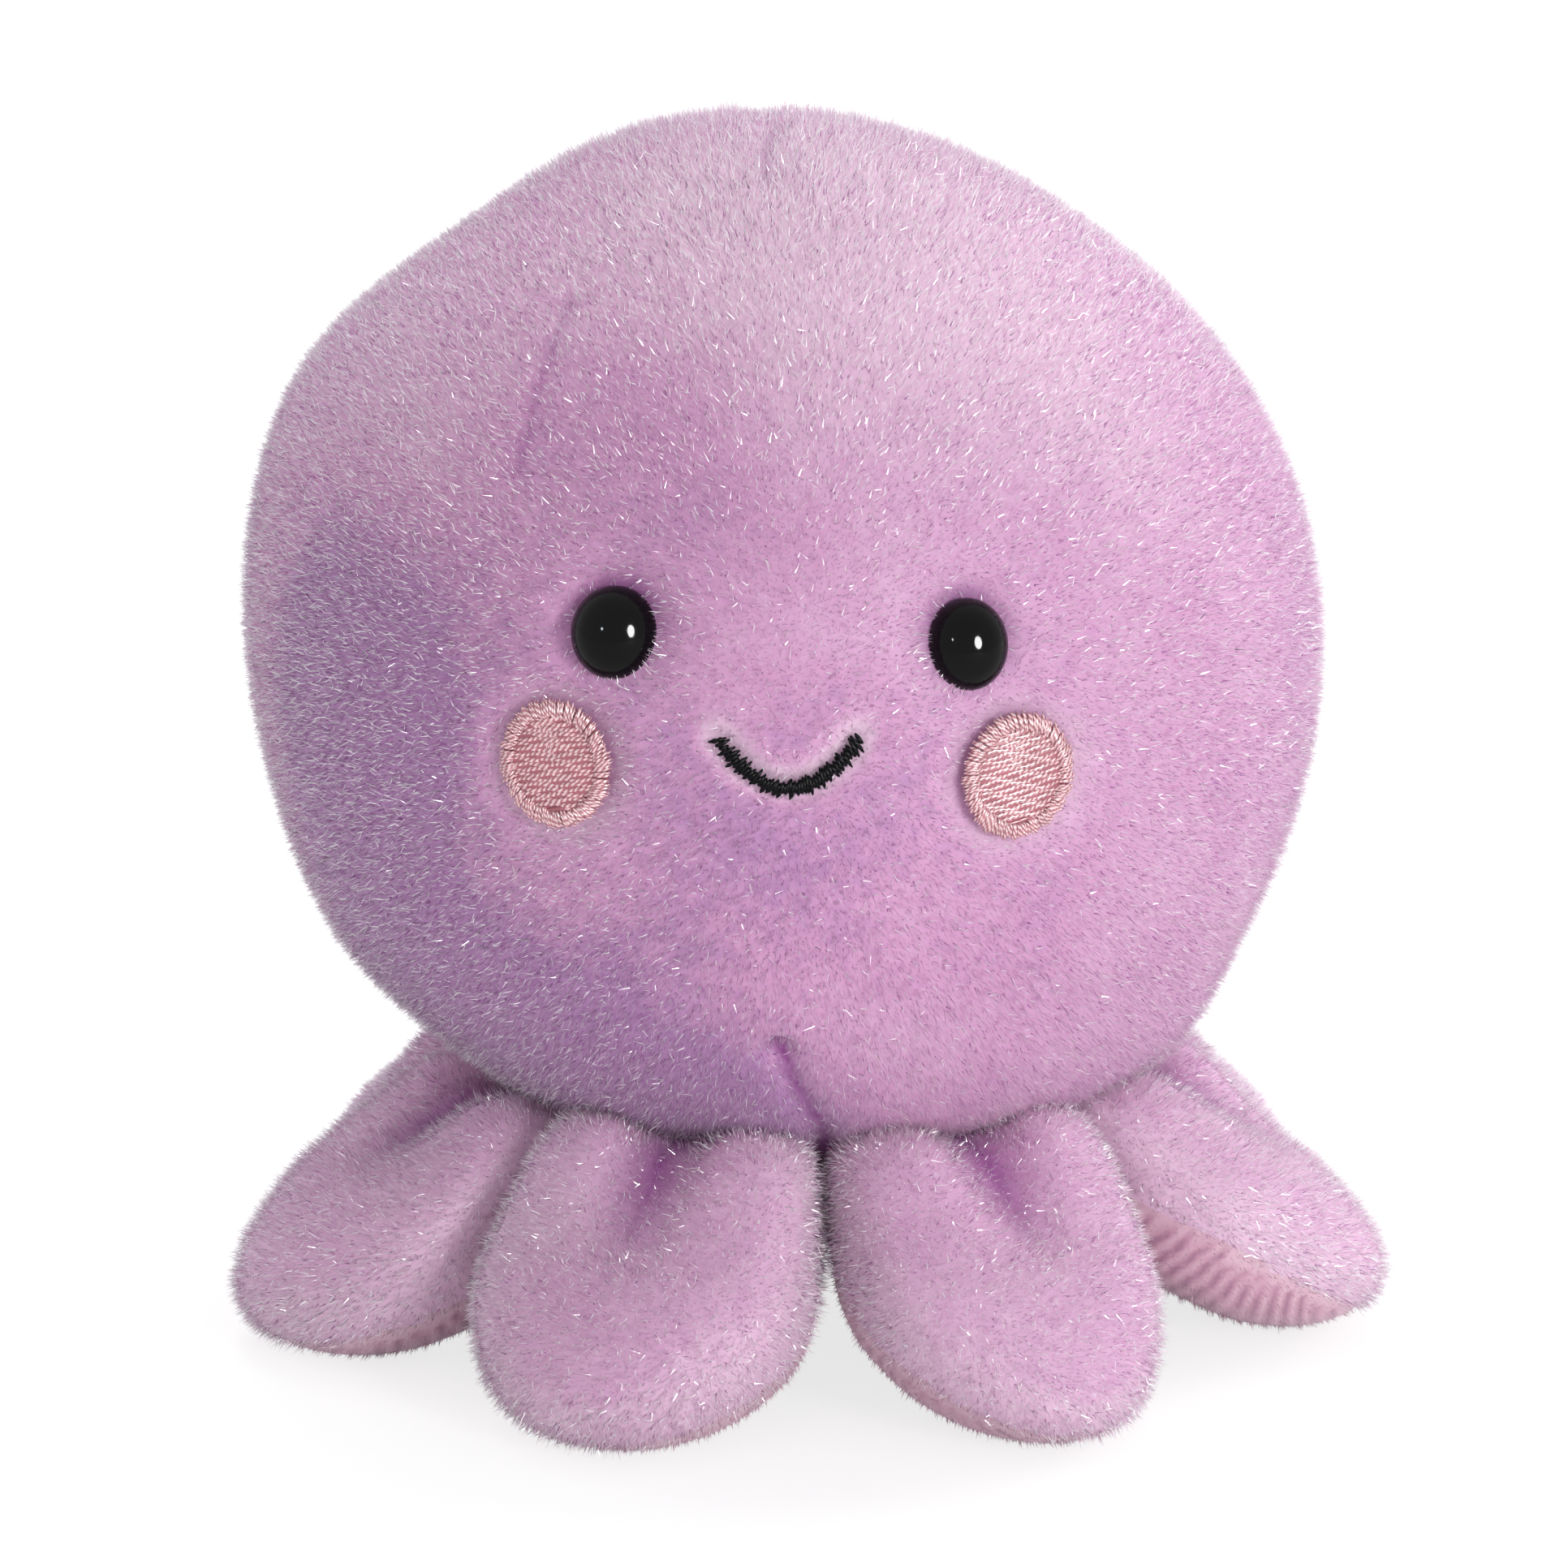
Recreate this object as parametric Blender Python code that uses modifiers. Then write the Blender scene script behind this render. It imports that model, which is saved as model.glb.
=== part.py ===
"""Plush octopus: a stuffed ball of a head on eight short tentacles, sewn from plush panels.

Metres, +Z up, the face towards -Y. The origin lies on the standing plane, under the middle of the neck seam.
Outer surfaces stand for the middle of the pile, so a cover is its backing cloth and its pile together.
"""
import math

import bmesh
import bpy
from mathutils import Matrix, Vector

# Cloth
COVER_THICKNESS = 0.0030
BACKING_THICKNESS = 0.0008
SEAM_GAP = 0.0003

# Head and neck
HEAD_RADIUS = 0.0516
NECK_RADIUS = 0.0309
NECK_HEIGHT = 0.0242
HEAD_LEAN = -0.0025
LEAN_RISE_SHARE = 0.4
SIDE_SEAM_DEPTH = 0.0040
# Azimuth from the face towards +X, elevation, swell as a share of the radius, spread in degrees
HEAD_LUMP_SHARES = (
    (-98.0, 27.0, 0.042, 20.0),
    (111.0, 52.0, -0.034, 25.0),
    (74.0, -43.0, 0.022, 18.0),
    (-109.0, 49.0, -0.030, 15.0),
    (145.0, 74.0, -0.012, 22.0),
    (-85.0, -15.0, -0.012, 14.0),
)

# Eyes, with their shanks and washers
EYE_AZIMUTHS_DEG = (-18.5, 19.7)
EYE_ELEVATIONS_DEG = (15.1, 13.8)
EYE_RADIUS = 0.0045
EYE_DOME_HEIGHT = 0.0035
EYE_RIM_HEIGHT = 0.0006
SHANK_RADIUS = 0.0014
SHANK_LENGTH = 0.0075
WASHER_RADIUS = 0.0055
WASHER_THICKNESS = 0.0012
FIT_CLEARANCE = 0.0003
WASHER_SETBACK = 0.0004

# Embroidery on the face panel
CHEEK_AZIMUTHS_DEG = (-23.9, 24.3)
CHEEK_ELEVATIONS_DEG = (1.2, -0.1)
CHEEK_HALF_WIDTH = 0.0055
CHEEK_HALF_HEIGHT = 0.0059
CHEEK_THICKNESS = 0.0010
CHEEK_SINK = 0.0006
MOUTH_AZIMUTHS_DEG = (-6.8, 7.5)
MOUTH_END_ELEVATION_DEG = 4.9
MOUTH_LOW_ELEVATION_DEG = 0.0
MOUTH_THREAD_RADIUS = 0.0006
MOUTH_SINK = 0.0007
MOUTH_POINTS = 13

# Tentacles, azimuths from the face towards +X
TENTACLE_AZIMUTHS_DEG = (-23.0, 26.5, 75.0, 117.5, 159.5, 201.5, 243.5, 290.5)
TENTACLE_ROLLS_DEG = (0.0, 8.0, 13.0, 0.0, 0.0, 0.0, 0.0, 0.0)
ROLL_LENGTH_SHARE = 0.6
TENTACLE_REACH = 0.0570
TENTACLE_REACH_SHARES = (1.0, 1.0, 1.010, 0.92, 0.986, 0.986, 0.92, 1.032)
TENTACLE_THICKNESS = 0.0180
TENTACLE_THICKNESS_SHARES = (1.0, 0.97, 0.97, 0.92, 1.0, 1.0, 0.92, 1.0)
TENTACLE_HALF_WIDTH = 0.0168
TENTACLE_WIDTH_SHARES = (1.0, 0.90, 0.94, 0.94, 0.97, 0.97, 0.94, 0.97)
ROOT_SETBACK = 0.0019
TENTACLE_SIDE_GAP = 0.0007
ROOT_CLEARANCE = 0.0021
FOOT_CUT = 0.0005
PLEAT_DEPTH = 0.0026
PLEAT_SPREAD_DEG = 16.0
PLEAT_LENGTH_SHARE = 0.6
ROOT_SECTION_POWER = 4.0
TIP_SECTION_POWER = 2.1
WIDTH_BLEND_POWER = 10.0
# Place along the tentacle from which its width and its thickness round off to the tip
WIDTH_ROUND_SHARE = 0.45
THICKNESS_ROUND_SHARE = 0.60
# Place along the tentacle, thickness there as a share of the greatest
THICKNESS_GROWTH_SHARES = ((0.0, 0.74), (0.2, 1.0), (0.45, 1.02), (0.6, 1.0), (1.0, 1.0))
# Middle line: reach as a share from root to tip, then what its two pulls share of the root's and the tip's height
MIDDLE_LINE_REACH_SHARES = (0.0, 0.30, 0.50, 1.0)
ROOT_PULL_SHARE = 1.05
TIP_PULL_SHARE = 1.0
TIP_MIDDLE_SHARE = 0.46
# Seam between the upper and the under panel: its height over the root's underside as a share of the thickness
SEAM_ROOT_SHARE = 0.28
SEAM_TIP_HEIGHT = 0.0024
SEAM_TILTS_DEG = (0.0, 2.0, 6.0, 0.0, 0.0, 0.0, 0.0, 0.0)

# Belly
BELLY_HEIGHT = 0.0085
BELLY_RISE = 0.0043
PELLET_BAG_WALL = 0.0042
PELLET_BAG_DROP = 0.0042
BAG_SHOULDER_SHARE = 0.12
PLUG_OVERLAP = 0.0060
PLUG_CLEARANCE = 0.0012

# Cutters run past what they cut by this much
OVERRUN = 0.0040

# Mesh density
HEAD_SEGMENTS = 40
HEAD_RINGS = 24
LINING_SEGMENTS = 32
LINING_RINGS = 18
LIMB_SEGMENTS = 20
LIMB_RINGS = 7
LIMB_LINING_SEGMENTS = 16
LIMB_LINING_RINGS = 6
TURN_STEPS = 28
MERGE_DISTANCE = 0.00002

# Worked out from the sizes above
PILE_HEIGHT = COVER_THICKNESS - BACKING_THICKNESS
HEAD_DROP = math.sqrt(HEAD_RADIUS ** 2 - NECK_RADIUS ** 2)
HEAD_HEIGHT = NECK_HEIGHT + HEAD_DROP
FILLING_INSET = COVER_THICKNESS + SEAM_GAP
HINGE_RADIUS = NECK_RADIUS
HINGE_HEIGHT = NECK_HEIGHT - SEAM_GAP
TENTACLE_ROOT_RADIUS = NECK_RADIUS - ROOT_SETBACK
BELLY_RADIUS = TENTACLE_ROOT_RADIUS - ROOT_CLEARANCE
PELLET_BAG_TOP = NECK_HEIGHT - PELLET_BAG_DROP

PLUSH = (0.70, 0.47, 0.66)
PINK_PLUSH = (0.66, 0.42, 0.52)
CHEEK_THREAD = (0.80, 0.52, 0.56)
BLACK_THREAD = (0.02, 0.02, 0.025)
EYE_PLASTIC = (0.008, 0.008, 0.010)
WASHER_PLASTIC = (0.75, 0.75, 0.72)
FIBRE = (0.90, 0.90, 0.88)
BAG_CLOTH = (0.80, 0.78, 0.74)


def clear_scene():
    """Remove every object from the scene."""
    for item in list(bpy.data.objects):
        bpy.data.objects.remove(item, do_unlink=True)


def make_collection(name):
    """Return a new collection linked to the scene."""
    group = bpy.data.collections.new(name)
    bpy.context.scene.collection.children.link(group)
    return group


def make_material(name, colour, roughness, metallic=0.0):
    """Return a Principled BSDF material."""
    material = bpy.data.materials.new(name)
    material.use_nodes = True
    shader = material.node_tree.nodes["Principled BSDF"]
    shader.inputs["Base Color"].default_value = (*colour, 1.0)
    shader.inputs["Roughness"].default_value = roughness
    shader.inputs["Metallic"].default_value = metallic
    return material


def smooth(share):
    """Ease a share from 0 to 1."""
    share = min(1.0, max(0.0, share))
    return share * share * (3.0 - 2.0 * share)


def read_shares(table, place):
    """Read a table of (place, share) at a place, straight between its rows."""
    for (low, first), (high, second) in zip(table, table[1:]):
        if place <= high:
            return first + (second - first) * (place - low) / (high - low)
    return table[-1][1]


def direction(azimuth_deg, elevation_deg):
    """Unit vector from the head's middle, azimuth counted from the face towards +X."""
    azimuth = math.radians(azimuth_deg)
    elevation = math.radians(elevation_deg)
    flat = math.cos(elevation)
    return Vector((flat * math.sin(azimuth), -flat * math.cos(azimuth), math.sin(elevation)))


def head_swell(heading):
    """The head's radius along a heading, as a share of a true ball's."""
    share = 1.0
    for azimuth, elevation, swell, spread in HEAD_LUMP_SHARES:
        angle = math.degrees(heading.angle(direction(azimuth, elevation)))
        share += swell * math.exp(-(angle / spread) ** 2)
    return share


def head_point(heading, inset=0.0):
    """Point of the head's surface along a heading, inset into the head, with the head's slight lean."""
    point = heading * (HEAD_RADIUS * head_swell(heading) - inset)
    height = HEAD_HEIGHT + point.z
    lean = HEAD_LEAN * smooth((height - NECK_HEIGHT) / (HEAD_DROP * LEAN_RISE_SHARE))
    return Vector((point.x + lean, point.y, height))


def head_frame(azimuth_deg, elevation_deg, inset=0.0):
    """Frame on the head's surface: Z outwards, Y up the face, X across it."""
    outward = direction(azimuth_deg, elevation_deg)
    across = Vector((0.0, 0.0, 1.0)).cross(outward).normalized()
    upward = outward.cross(across)
    frame = Matrix((across, upward, outward)).transposed().to_4x4()
    frame.translation = head_point(outward, inset)
    return frame


def finish_mesh(name, shape):
    """Turn a bmesh into a smooth-shaded mesh with its faces pointing out."""
    shape.normal_update()
    bmesh.ops.recalc_face_normals(shape, faces=shape.faces)
    mesh = bpy.data.meshes.new(name)
    shape.to_mesh(mesh)
    shape.free()
    mesh.shade_smooth()
    return mesh


def place(name, mesh, group, material=None, parent=None):
    """Put a mesh in a collection as a named object."""
    item = bpy.data.objects.new(name, mesh)
    group.objects.link(item)
    if material is not None:
        mesh.materials.clear()
        mesh.materials.append(material)
    else:
        item.hide_render = True
        item.display_type = "WIRE"
    item.parent = parent
    return item


def cut(item, cutter, operation="DIFFERENCE"):
    """Add a Boolean to an object."""
    modifier = item.modifiers.new(cutter.name, "BOOLEAN")
    modifier.operation = operation
    modifier.object = cutter


def keep_below(shape, point, normal):
    """Cut a closed bmesh with a plane, drop what lies on the normal's side and close the cut."""
    geometry = list(shape.verts) + list(shape.edges) + list(shape.faces)
    bmesh.ops.bisect_plane(shape, geom=geometry, dist=MERGE_DISTANCE, plane_co=point, plane_no=normal, clear_outer=True)
    rim = [edge for edge in shape.edges if edge.is_boundary]
    bmesh.ops.holes_fill(shape, edges=rim, sides=0)


def turned(name, profile, group, closed=False, steps=TURN_STEPS, material=None):
    """Turn a profile of (radius, height) points about Z, outer side from top to bottom."""
    mesh = bpy.data.meshes.new(name)
    points = [(radius, 0.0, height) for radius, height in profile]
    edges = [(index, index + 1) for index in range(len(points) - 1)]
    if closed:
        edges.append((len(points) - 1, 0))
    mesh.from_pydata(points, edges, [])
    item = place(name, mesh, group, material)
    screw = item.modifiers.new("turn", "SCREW")
    screw.steps = steps
    screw.render_steps = steps
    screw.use_merge_vertices = True
    screw.merge_threshold = MERGE_DISTANCE
    return item


def evaluated_mesh(item, name):
    """Mesh of an object with its modifiers applied and its doubles welded."""
    bpy.context.view_layer.update()
    graph = bpy.context.evaluated_depsgraph_get()
    mesh = bpy.data.meshes.new_from_object(item.evaluated_get(graph))
    mesh.name = name
    shape = bmesh.new()
    shape.from_mesh(mesh)
    bmesh.ops.remove_doubles(shape, verts=shape.verts, dist=MERGE_DISTANCE)
    shape.to_mesh(mesh)
    shape.free()
    return mesh


# Head cover and stuffing
def head_ball(inset, segments, rings):
    """Closed bmesh of the head's ball, inset from its outer surface."""
    shape = bmesh.new()
    bmesh.ops.create_uvsphere(shape, u_segments=segments, v_segments=rings, radius=1.0)
    for vertex in shape.verts:
        vertex.co = head_point(vertex.co.normalized(), inset)
    return shape


def build_head_cover(parts, cutters, plush):
    """Face panel and two back panels: sectors of the ball, hollowed by its lining and open at the neck."""
    lining = place("head_lining", finish_mesh("head_lining", head_ball(COVER_THICKNESS, LINING_SEGMENTS, LINING_RINGS)),
                   cutters)
    half_gap = SEAM_GAP / 2.0
    forward = Vector((0.0, -1.0, 0.0))
    rightward = Vector((1.0, 0.0, 0.0))
    crown_x = head_point(Vector((0.0, 0.0, 1.0))).x
    side_front = Vector((0.0, SIDE_SEAM_DEPTH - half_gap, 0.0))
    side_back = Vector((0.0, SIDE_SEAM_DEPTH + half_gap, 0.0))
    panels = {
        "head_front_panel": [(side_front, -forward)],
        "head_back_left_panel": [(side_back, forward), (Vector((crown_x - half_gap, 0.0, 0.0)), rightward)],
        "head_back_right_panel": [(side_back, forward), (Vector((crown_x + half_gap, 0.0, 0.0)), -rightward)],
    }
    panel_objects = {}
    for name, planes in panels.items():
        shape = head_ball(0.0, HEAD_SEGMENTS, HEAD_RINGS)
        keep_below(shape, Vector((0.0, 0.0, NECK_HEIGHT)), Vector((0.0, 0.0, -1.0)))
        for point, normal in planes:
            keep_below(shape, point, normal)
        panel_objects[name] = place(name, finish_mesh(name, shape), parts, plush)
        cut(panel_objects[name], lining)
    return panel_objects["head_front_panel"]


def build_head_filling(parts, cutters, fibre):
    """Ball of stuffing that reaches down through the neck as a plug, hollow below for the pellet bag."""
    shape = head_ball(FILLING_INSET, LINING_SEGMENTS, LINING_RINGS)
    neck_room = math.sqrt((HEAD_RADIUS - COVER_THICKNESS) ** 2 - HEAD_DROP ** 2)
    plug_neck = neck_room - PLUG_CLEARANCE
    keep_below(shape, Vector((0.0, 0.0, NECK_HEIGHT + PLUG_OVERLAP / 2.0)), Vector((0.0, 0.0, -1.0)))
    filling = place("head_filling", finish_mesh("head_filling", shape), parts, fibre)
    plug_bottom = BELLY_HEIGHT + BELLY_RISE + COVER_THICKNESS + SEAM_GAP
    shoulder = NECK_HEIGHT - SEAM_GAP
    plug = turned("neck_plug", (
        (0.0, NECK_HEIGHT + PLUG_OVERLAP),
        (plug_neck - COVER_THICKNESS, NECK_HEIGHT + PLUG_OVERLAP),
        (plug_neck, NECK_HEIGHT + SEAM_GAP),
        (plug_neck, shoulder),
        (BELLY_RADIUS, shoulder - COVER_THICKNESS),
        (BELLY_RADIUS, plug_bottom),
        (0.0, plug_bottom),
    ), cutters)
    cut(filling, plug, "UNION")
    room = BELLY_RADIUS - PELLET_BAG_WALL + SEAM_GAP
    pocket = turned("pellet_bag_room", (
        (0.0, PELLET_BAG_TOP + SEAM_GAP),
        (room, PELLET_BAG_TOP + SEAM_GAP),
        (room, plug_bottom - OVERRUN),
        (0.0, plug_bottom - OVERRUN),
    ), cutters)
    cut(filling, pocket)
    return filling


def belly_height(radius):
    """Height of the belly's outer surface at a radius."""
    return BELLY_HEIGHT + BELLY_RISE * (radius / BELLY_RADIUS) ** 2


def build_belly(parts, pink, bag_cloth):
    """Dished panel that closes the belly, and the pellet bag that lies on it."""
    count = 6
    radii = [BELLY_RADIUS * index / count for index in range(count + 1)]
    inner = [(radius, belly_height(radius) + COVER_THICKNESS) for radius in radii]
    outer = [(radius, belly_height(radius)) for radius in reversed(radii)]
    turned("base_panel", inner + outer, parts, material=pink)
    bag_radius = BELLY_RADIUS - PELLET_BAG_WALL
    floor = COVER_THICKNESS + SEAM_GAP
    shoulder = BAG_SHOULDER_SHARE * bag_radius
    under = [(bag_radius * share, belly_height(bag_radius * share) + floor) for share in (0.9, 0.6, 0.3, 0.0)]
    turned("pellet_bag", [
        (0.0, PELLET_BAG_TOP),
        (bag_radius - 2.0 * shoulder, PELLET_BAG_TOP),
        (bag_radius - shoulder / 2.0, PELLET_BAG_TOP - shoulder),
        (bag_radius, (PELLET_BAG_TOP + belly_height(bag_radius) + floor) / 2.0),
    ] + under, parts, material=bag_cloth)


# Face
def build_eye(side, azimuth, elevation, parts, cutters, panel, filling, plastic, washer_plastic):
    """One domed eye, its shank through the face panel and the washer that locks it behind."""
    seat = -PILE_HEIGHT + SEAM_GAP
    sag = WASHER_RADIUS ** 2 / (2.0 * (HEAD_RADIUS - COVER_THICKNESS))
    washer_top = -COVER_THICKNESS - sag - SEAM_GAP - WASHER_SETBACK
    washer_bottom = washer_top - WASHER_THICKNESS
    shank_end = seat - SHANK_LENGTH
    dome = []
    for index in range(7):
        angle = math.radians(90.0 - 15.0 * index)
        dome.append((EYE_RADIUS * math.cos(angle), seat + EYE_RIM_HEIGHT + EYE_DOME_HEIGHT * math.sin(angle)))
    dome[0] = (0.0, dome[0][1])
    frame = head_frame(azimuth, elevation)
    eye = turned(f"eye_{side}", dome + [(EYE_RADIUS, seat), (SHANK_RADIUS, seat), (SHANK_RADIUS, shank_end),
                                        (0.0, shank_end)], parts, steps=24, material=plastic)
    bore = SHANK_RADIUS + FIT_CLEARANCE
    washer = turned(f"eye_washer_{side}", [(WASHER_RADIUS, washer_top), (WASHER_RADIUS, washer_bottom),
                                           (bore, washer_bottom), (bore, washer_top)],
                    parts, closed=True, steps=20, material=washer_plastic)
    socket = turned(f"eye_socket_{side}", [(0.0, OVERRUN), (EYE_RADIUS + FIT_CLEARANCE, OVERRUN),
                                           (EYE_RADIUS + FIT_CLEARANCE, -PILE_HEIGHT), (bore, -PILE_HEIGHT),
                                           (bore, -COVER_THICKNESS - OVERRUN), (0.0, -COVER_THICKNESS - OVERRUN)],
                    cutters, steps=24)
    room = WASHER_RADIUS + FIT_CLEARANCE
    washer_floor = washer_bottom - FIT_CLEARANCE
    hollow = turned(f"eye_washer_room_{side}", [(0.0, 0.0), (room, 0.0), (room, washer_floor), (bore, washer_floor),
                                                (bore, shank_end - FIT_CLEARANCE),
                                                (0.0, shank_end - FIT_CLEARANCE)], cutters, steps=20)
    for item in (eye, washer, socket, hollow):
        item.matrix_world = frame
    cut(panel, socket)
    cut(filling, hollow)


def oval_plate(name, half_width, half_height, top, bottom):
    """Oval plate that follows the head's curve, its top and bottom at given heights over the head's surface."""
    shape = bmesh.new()
    bmesh.ops.create_cone(shape, cap_ends=True, segments=28, radius1=1.0, radius2=1.0, depth=1.0)
    for vertex in shape.verts:
        across = vertex.co.x * half_width
        along = vertex.co.y * half_height
        sag = (across ** 2 + along ** 2) / (2.0 * HEAD_RADIUS)
        level = top if vertex.co.z > 0.0 else bottom
        vertex.co = Vector((across, along, level - sag))
    return finish_mesh(name, shape)


def build_cheek(side, azimuth, elevation, parts, cutters, panel, thread):
    """One oval patch of satin stitch, sunk into the pile."""
    frame = head_frame(azimuth, elevation)
    bottom = -CHEEK_SINK - CHEEK_THICKNESS
    name = f"cheek_{side}"
    cheek = place(name, oval_plate(name, CHEEK_HALF_WIDTH, CHEEK_HALF_HEIGHT, -CHEEK_SINK, bottom), parts, thread)
    room_name = f"cheek_room_{side}"
    room = place(room_name, oval_plate(room_name, CHEEK_HALF_WIDTH + FIT_CLEARANCE,
                                       CHEEK_HALF_HEIGHT + FIT_CLEARANCE, OVERRUN, bottom - SEAM_GAP), cutters)
    cheek.matrix_world = frame
    room.matrix_world = frame
    cut(panel, room)


def mouth_path(inset):
    """Points of the smile, inset into the pile."""
    points = []
    for index in range(MOUTH_POINTS):
        share = index / (MOUTH_POINTS - 1)
        azimuth = MOUTH_AZIMUTHS_DEG[0] + (MOUTH_AZIMUTHS_DEG[1] - MOUTH_AZIMUTHS_DEG[0]) * share
        rise = (2.0 * share - 1.0) ** 2
        elevation = MOUTH_LOW_ELEVATION_DEG + (MOUTH_END_ELEVATION_DEG - MOUTH_LOW_ELEVATION_DEG) * rise
        points.append(head_point(direction(azimuth, elevation), inset))
    return points


def tube(name, points, radius, group, material=None):
    """Solid tube along points, made as a curve and turned into a mesh."""
    curve = bpy.data.curves.new(name, "CURVE")
    curve.dimensions = "3D"
    curve.bevel_depth = radius
    curve.bevel_resolution = 2
    curve.use_fill_caps = True
    spline = curve.splines.new("POLY")
    spline.points.add(len(points) - 1)
    for node, point in zip(spline.points, points):
        node.co = (*point, 1.0)
    guide = bpy.data.objects.new(f"{name}_guide", curve)
    group.objects.link(guide)
    mesh = evaluated_mesh(guide, name)
    item = place(name, mesh, group, material)
    item.matrix_world = guide.matrix_world
    bpy.data.objects.remove(guide, do_unlink=True)
    return item


def build_mouth(parts, cutters, panel, thread):
    """The stitched smile and its furrow in the pile."""
    tube("mouth_embroidery", mouth_path(MOUTH_SINK), MOUTH_THREAD_RADIUS, parts, thread)
    groove_sink = MOUTH_SINK - MOUTH_THREAD_RADIUS / 3.0
    groove_radius = MOUTH_THREAD_RADIUS * 4.0 / 3.0 + SEAM_GAP
    points = mouth_path(groove_sink)
    points[0] = points[0] + (points[0] - points[1]).normalized() * groove_radius
    points[-1] = points[-1] + (points[-1] - points[-2]).normalized() * groove_radius
    furrow = tube("mouth_furrow", points, groove_radius, cutters)
    cut(panel, furrow)


# Tentacles, in a frame with X along the tentacle, Y across it and the origin on its hinge
class Tentacle:
    """Shape of one tentacle, with Y towards its neighbour of the next azimuth."""

    def __init__(self, index):
        """Read the tentacle's own values and the room that its neighbours leave it on each side."""
        count = len(TENTACLE_AZIMUTHS_DEG)
        before = TENTACLE_AZIMUTHS_DEG[index] - TENTACLE_AZIMUTHS_DEG[index - 1]
        after = TENTACLE_AZIMUTHS_DEG[(index + 1) % count] - TENTACLE_AZIMUTHS_DEG[index]
        self.room_before = math.tan(math.radians(before % 360.0) / 2.0)
        self.room_after = math.tan(math.radians(after % 360.0) / 2.0)
        self.reach = TENTACLE_REACH * TENTACLE_REACH_SHARES[index]
        self.thickness = TENTACLE_THICKNESS * TENTACLE_THICKNESS_SHARES[index]
        self.widest = TENTACLE_HALF_WIDTH * TENTACLE_WIDTH_SHARES[index]
        self.roll = math.radians(TENTACLE_ROLLS_DEG[index])
        self.seam_tilt = self.roll + math.radians(SEAM_TILTS_DEG[index])
        turns = [math.radians(angle) for angle in range(0, 181, 6)]
        self.shoulder = max(self.raw_point(0.0, turn, 0.0).z for turn in turns)
        self.foot = min(self.raw_point(step / 30.0, -turn, 0.0).z for step in range(12, 31) for turn in turns)

    def middle_line(self, along):
        """Point and direction of the middle line, from root (0) to tip (1)."""
        root_height = HINGE_HEIGHT - self.thickness * THICKNESS_GROWTH_SHARES[0][1] / 2.0
        tip_height = self.thickness * TIP_MIDDLE_SHARE
        heights = (root_height, root_height * ROOT_PULL_SHARE, tip_height * TIP_PULL_SHARE, tip_height)
        span = self.reach - TENTACLE_ROOT_RADIUS
        guides = [Vector((TENTACLE_ROOT_RADIUS + span * share, 0.0, height))
                  for share, height in zip(MIDDLE_LINE_REACH_SHARES, heights)]
        rest = 1.0 - along
        point = (guides[0] * rest ** 3 + guides[1] * (3.0 * rest ** 2 * along)
                 + guides[2] * (3.0 * rest * along ** 2) + guides[3] * along ** 3)
        slope = ((guides[1] - guides[0]) * rest ** 2 + (guides[2] - guides[1]) * (2.0 * rest * along)
                 + (guides[3] - guides[2]) * along ** 2)
        return point, slope.normalized()

    def half_width(self, point, side):
        """Half width at a point of the middle line, on the side of the next (1) or the last (-1) tentacle."""
        room = point.x * (self.room_after if side > 0.0 else self.room_before) - TENTACLE_SIDE_GAP
        blend = (room / self.widest) ** -WIDTH_BLEND_POWER + 1.0
        return self.widest * blend ** (-1.0 / WIDTH_BLEND_POWER)

    def raw_point(self, along, around, inset):
        """Surface point before the foot is set on the ground, around counted from +Y over the top."""
        shortening = 1.0 - inset / (self.reach - TENTACLE_ROOT_RADIUS)
        point, forward = self.middle_line(along * shortening)
        upward = Vector((-forward.z, 0.0, forward.x))
        power = ROOT_SECTION_POWER + (TIP_SECTION_POWER - ROOT_SECTION_POWER) * smooth(along)
        half_width = (self.half_width(point, math.cos(around)) - inset) * round_off(along, WIDTH_ROUND_SHARE)
        half_height = self.thickness * read_shares(THICKNESS_GROWTH_SHARES, along) / 2.0 - inset
        half_height *= round_off(along, THICKNESS_ROUND_SHARE)
        from_top = math.degrees(around) - 90.0
        pleat = PLEAT_DEPTH * math.exp(-(from_top / PLEAT_SPREAD_DEG) ** 2) * (1.0 - smooth(along / PLEAT_LENGTH_SHARE))
        across = half_width * rounded(math.cos(around), power)
        rise = half_height * rounded(math.sin(around), power) - pleat
        roll = self.roll * smooth(along / ROLL_LENGTH_SHARE)
        swung = across * math.cos(roll) + rise * math.sin(roll)
        return point + upward * (rise * math.cos(roll) - across * math.sin(roll)) + Vector((0.0, swung, 0.0))

    def point(self, along, around, inset):
        """Surface point in the hinge's frame, its root brought up to the neck seam and its foot to the ground."""
        point = self.raw_point(along, around, inset)
        outwards = smooth(along / WIDTH_ROUND_SHARE)
        point.z += (HINGE_HEIGHT - self.shoulder) * (1.0 - outwards) - (self.foot + FOOT_CUT) * outwards
        return point - Vector((HINGE_RADIUS, 0.0, HINGE_HEIGHT))

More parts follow.
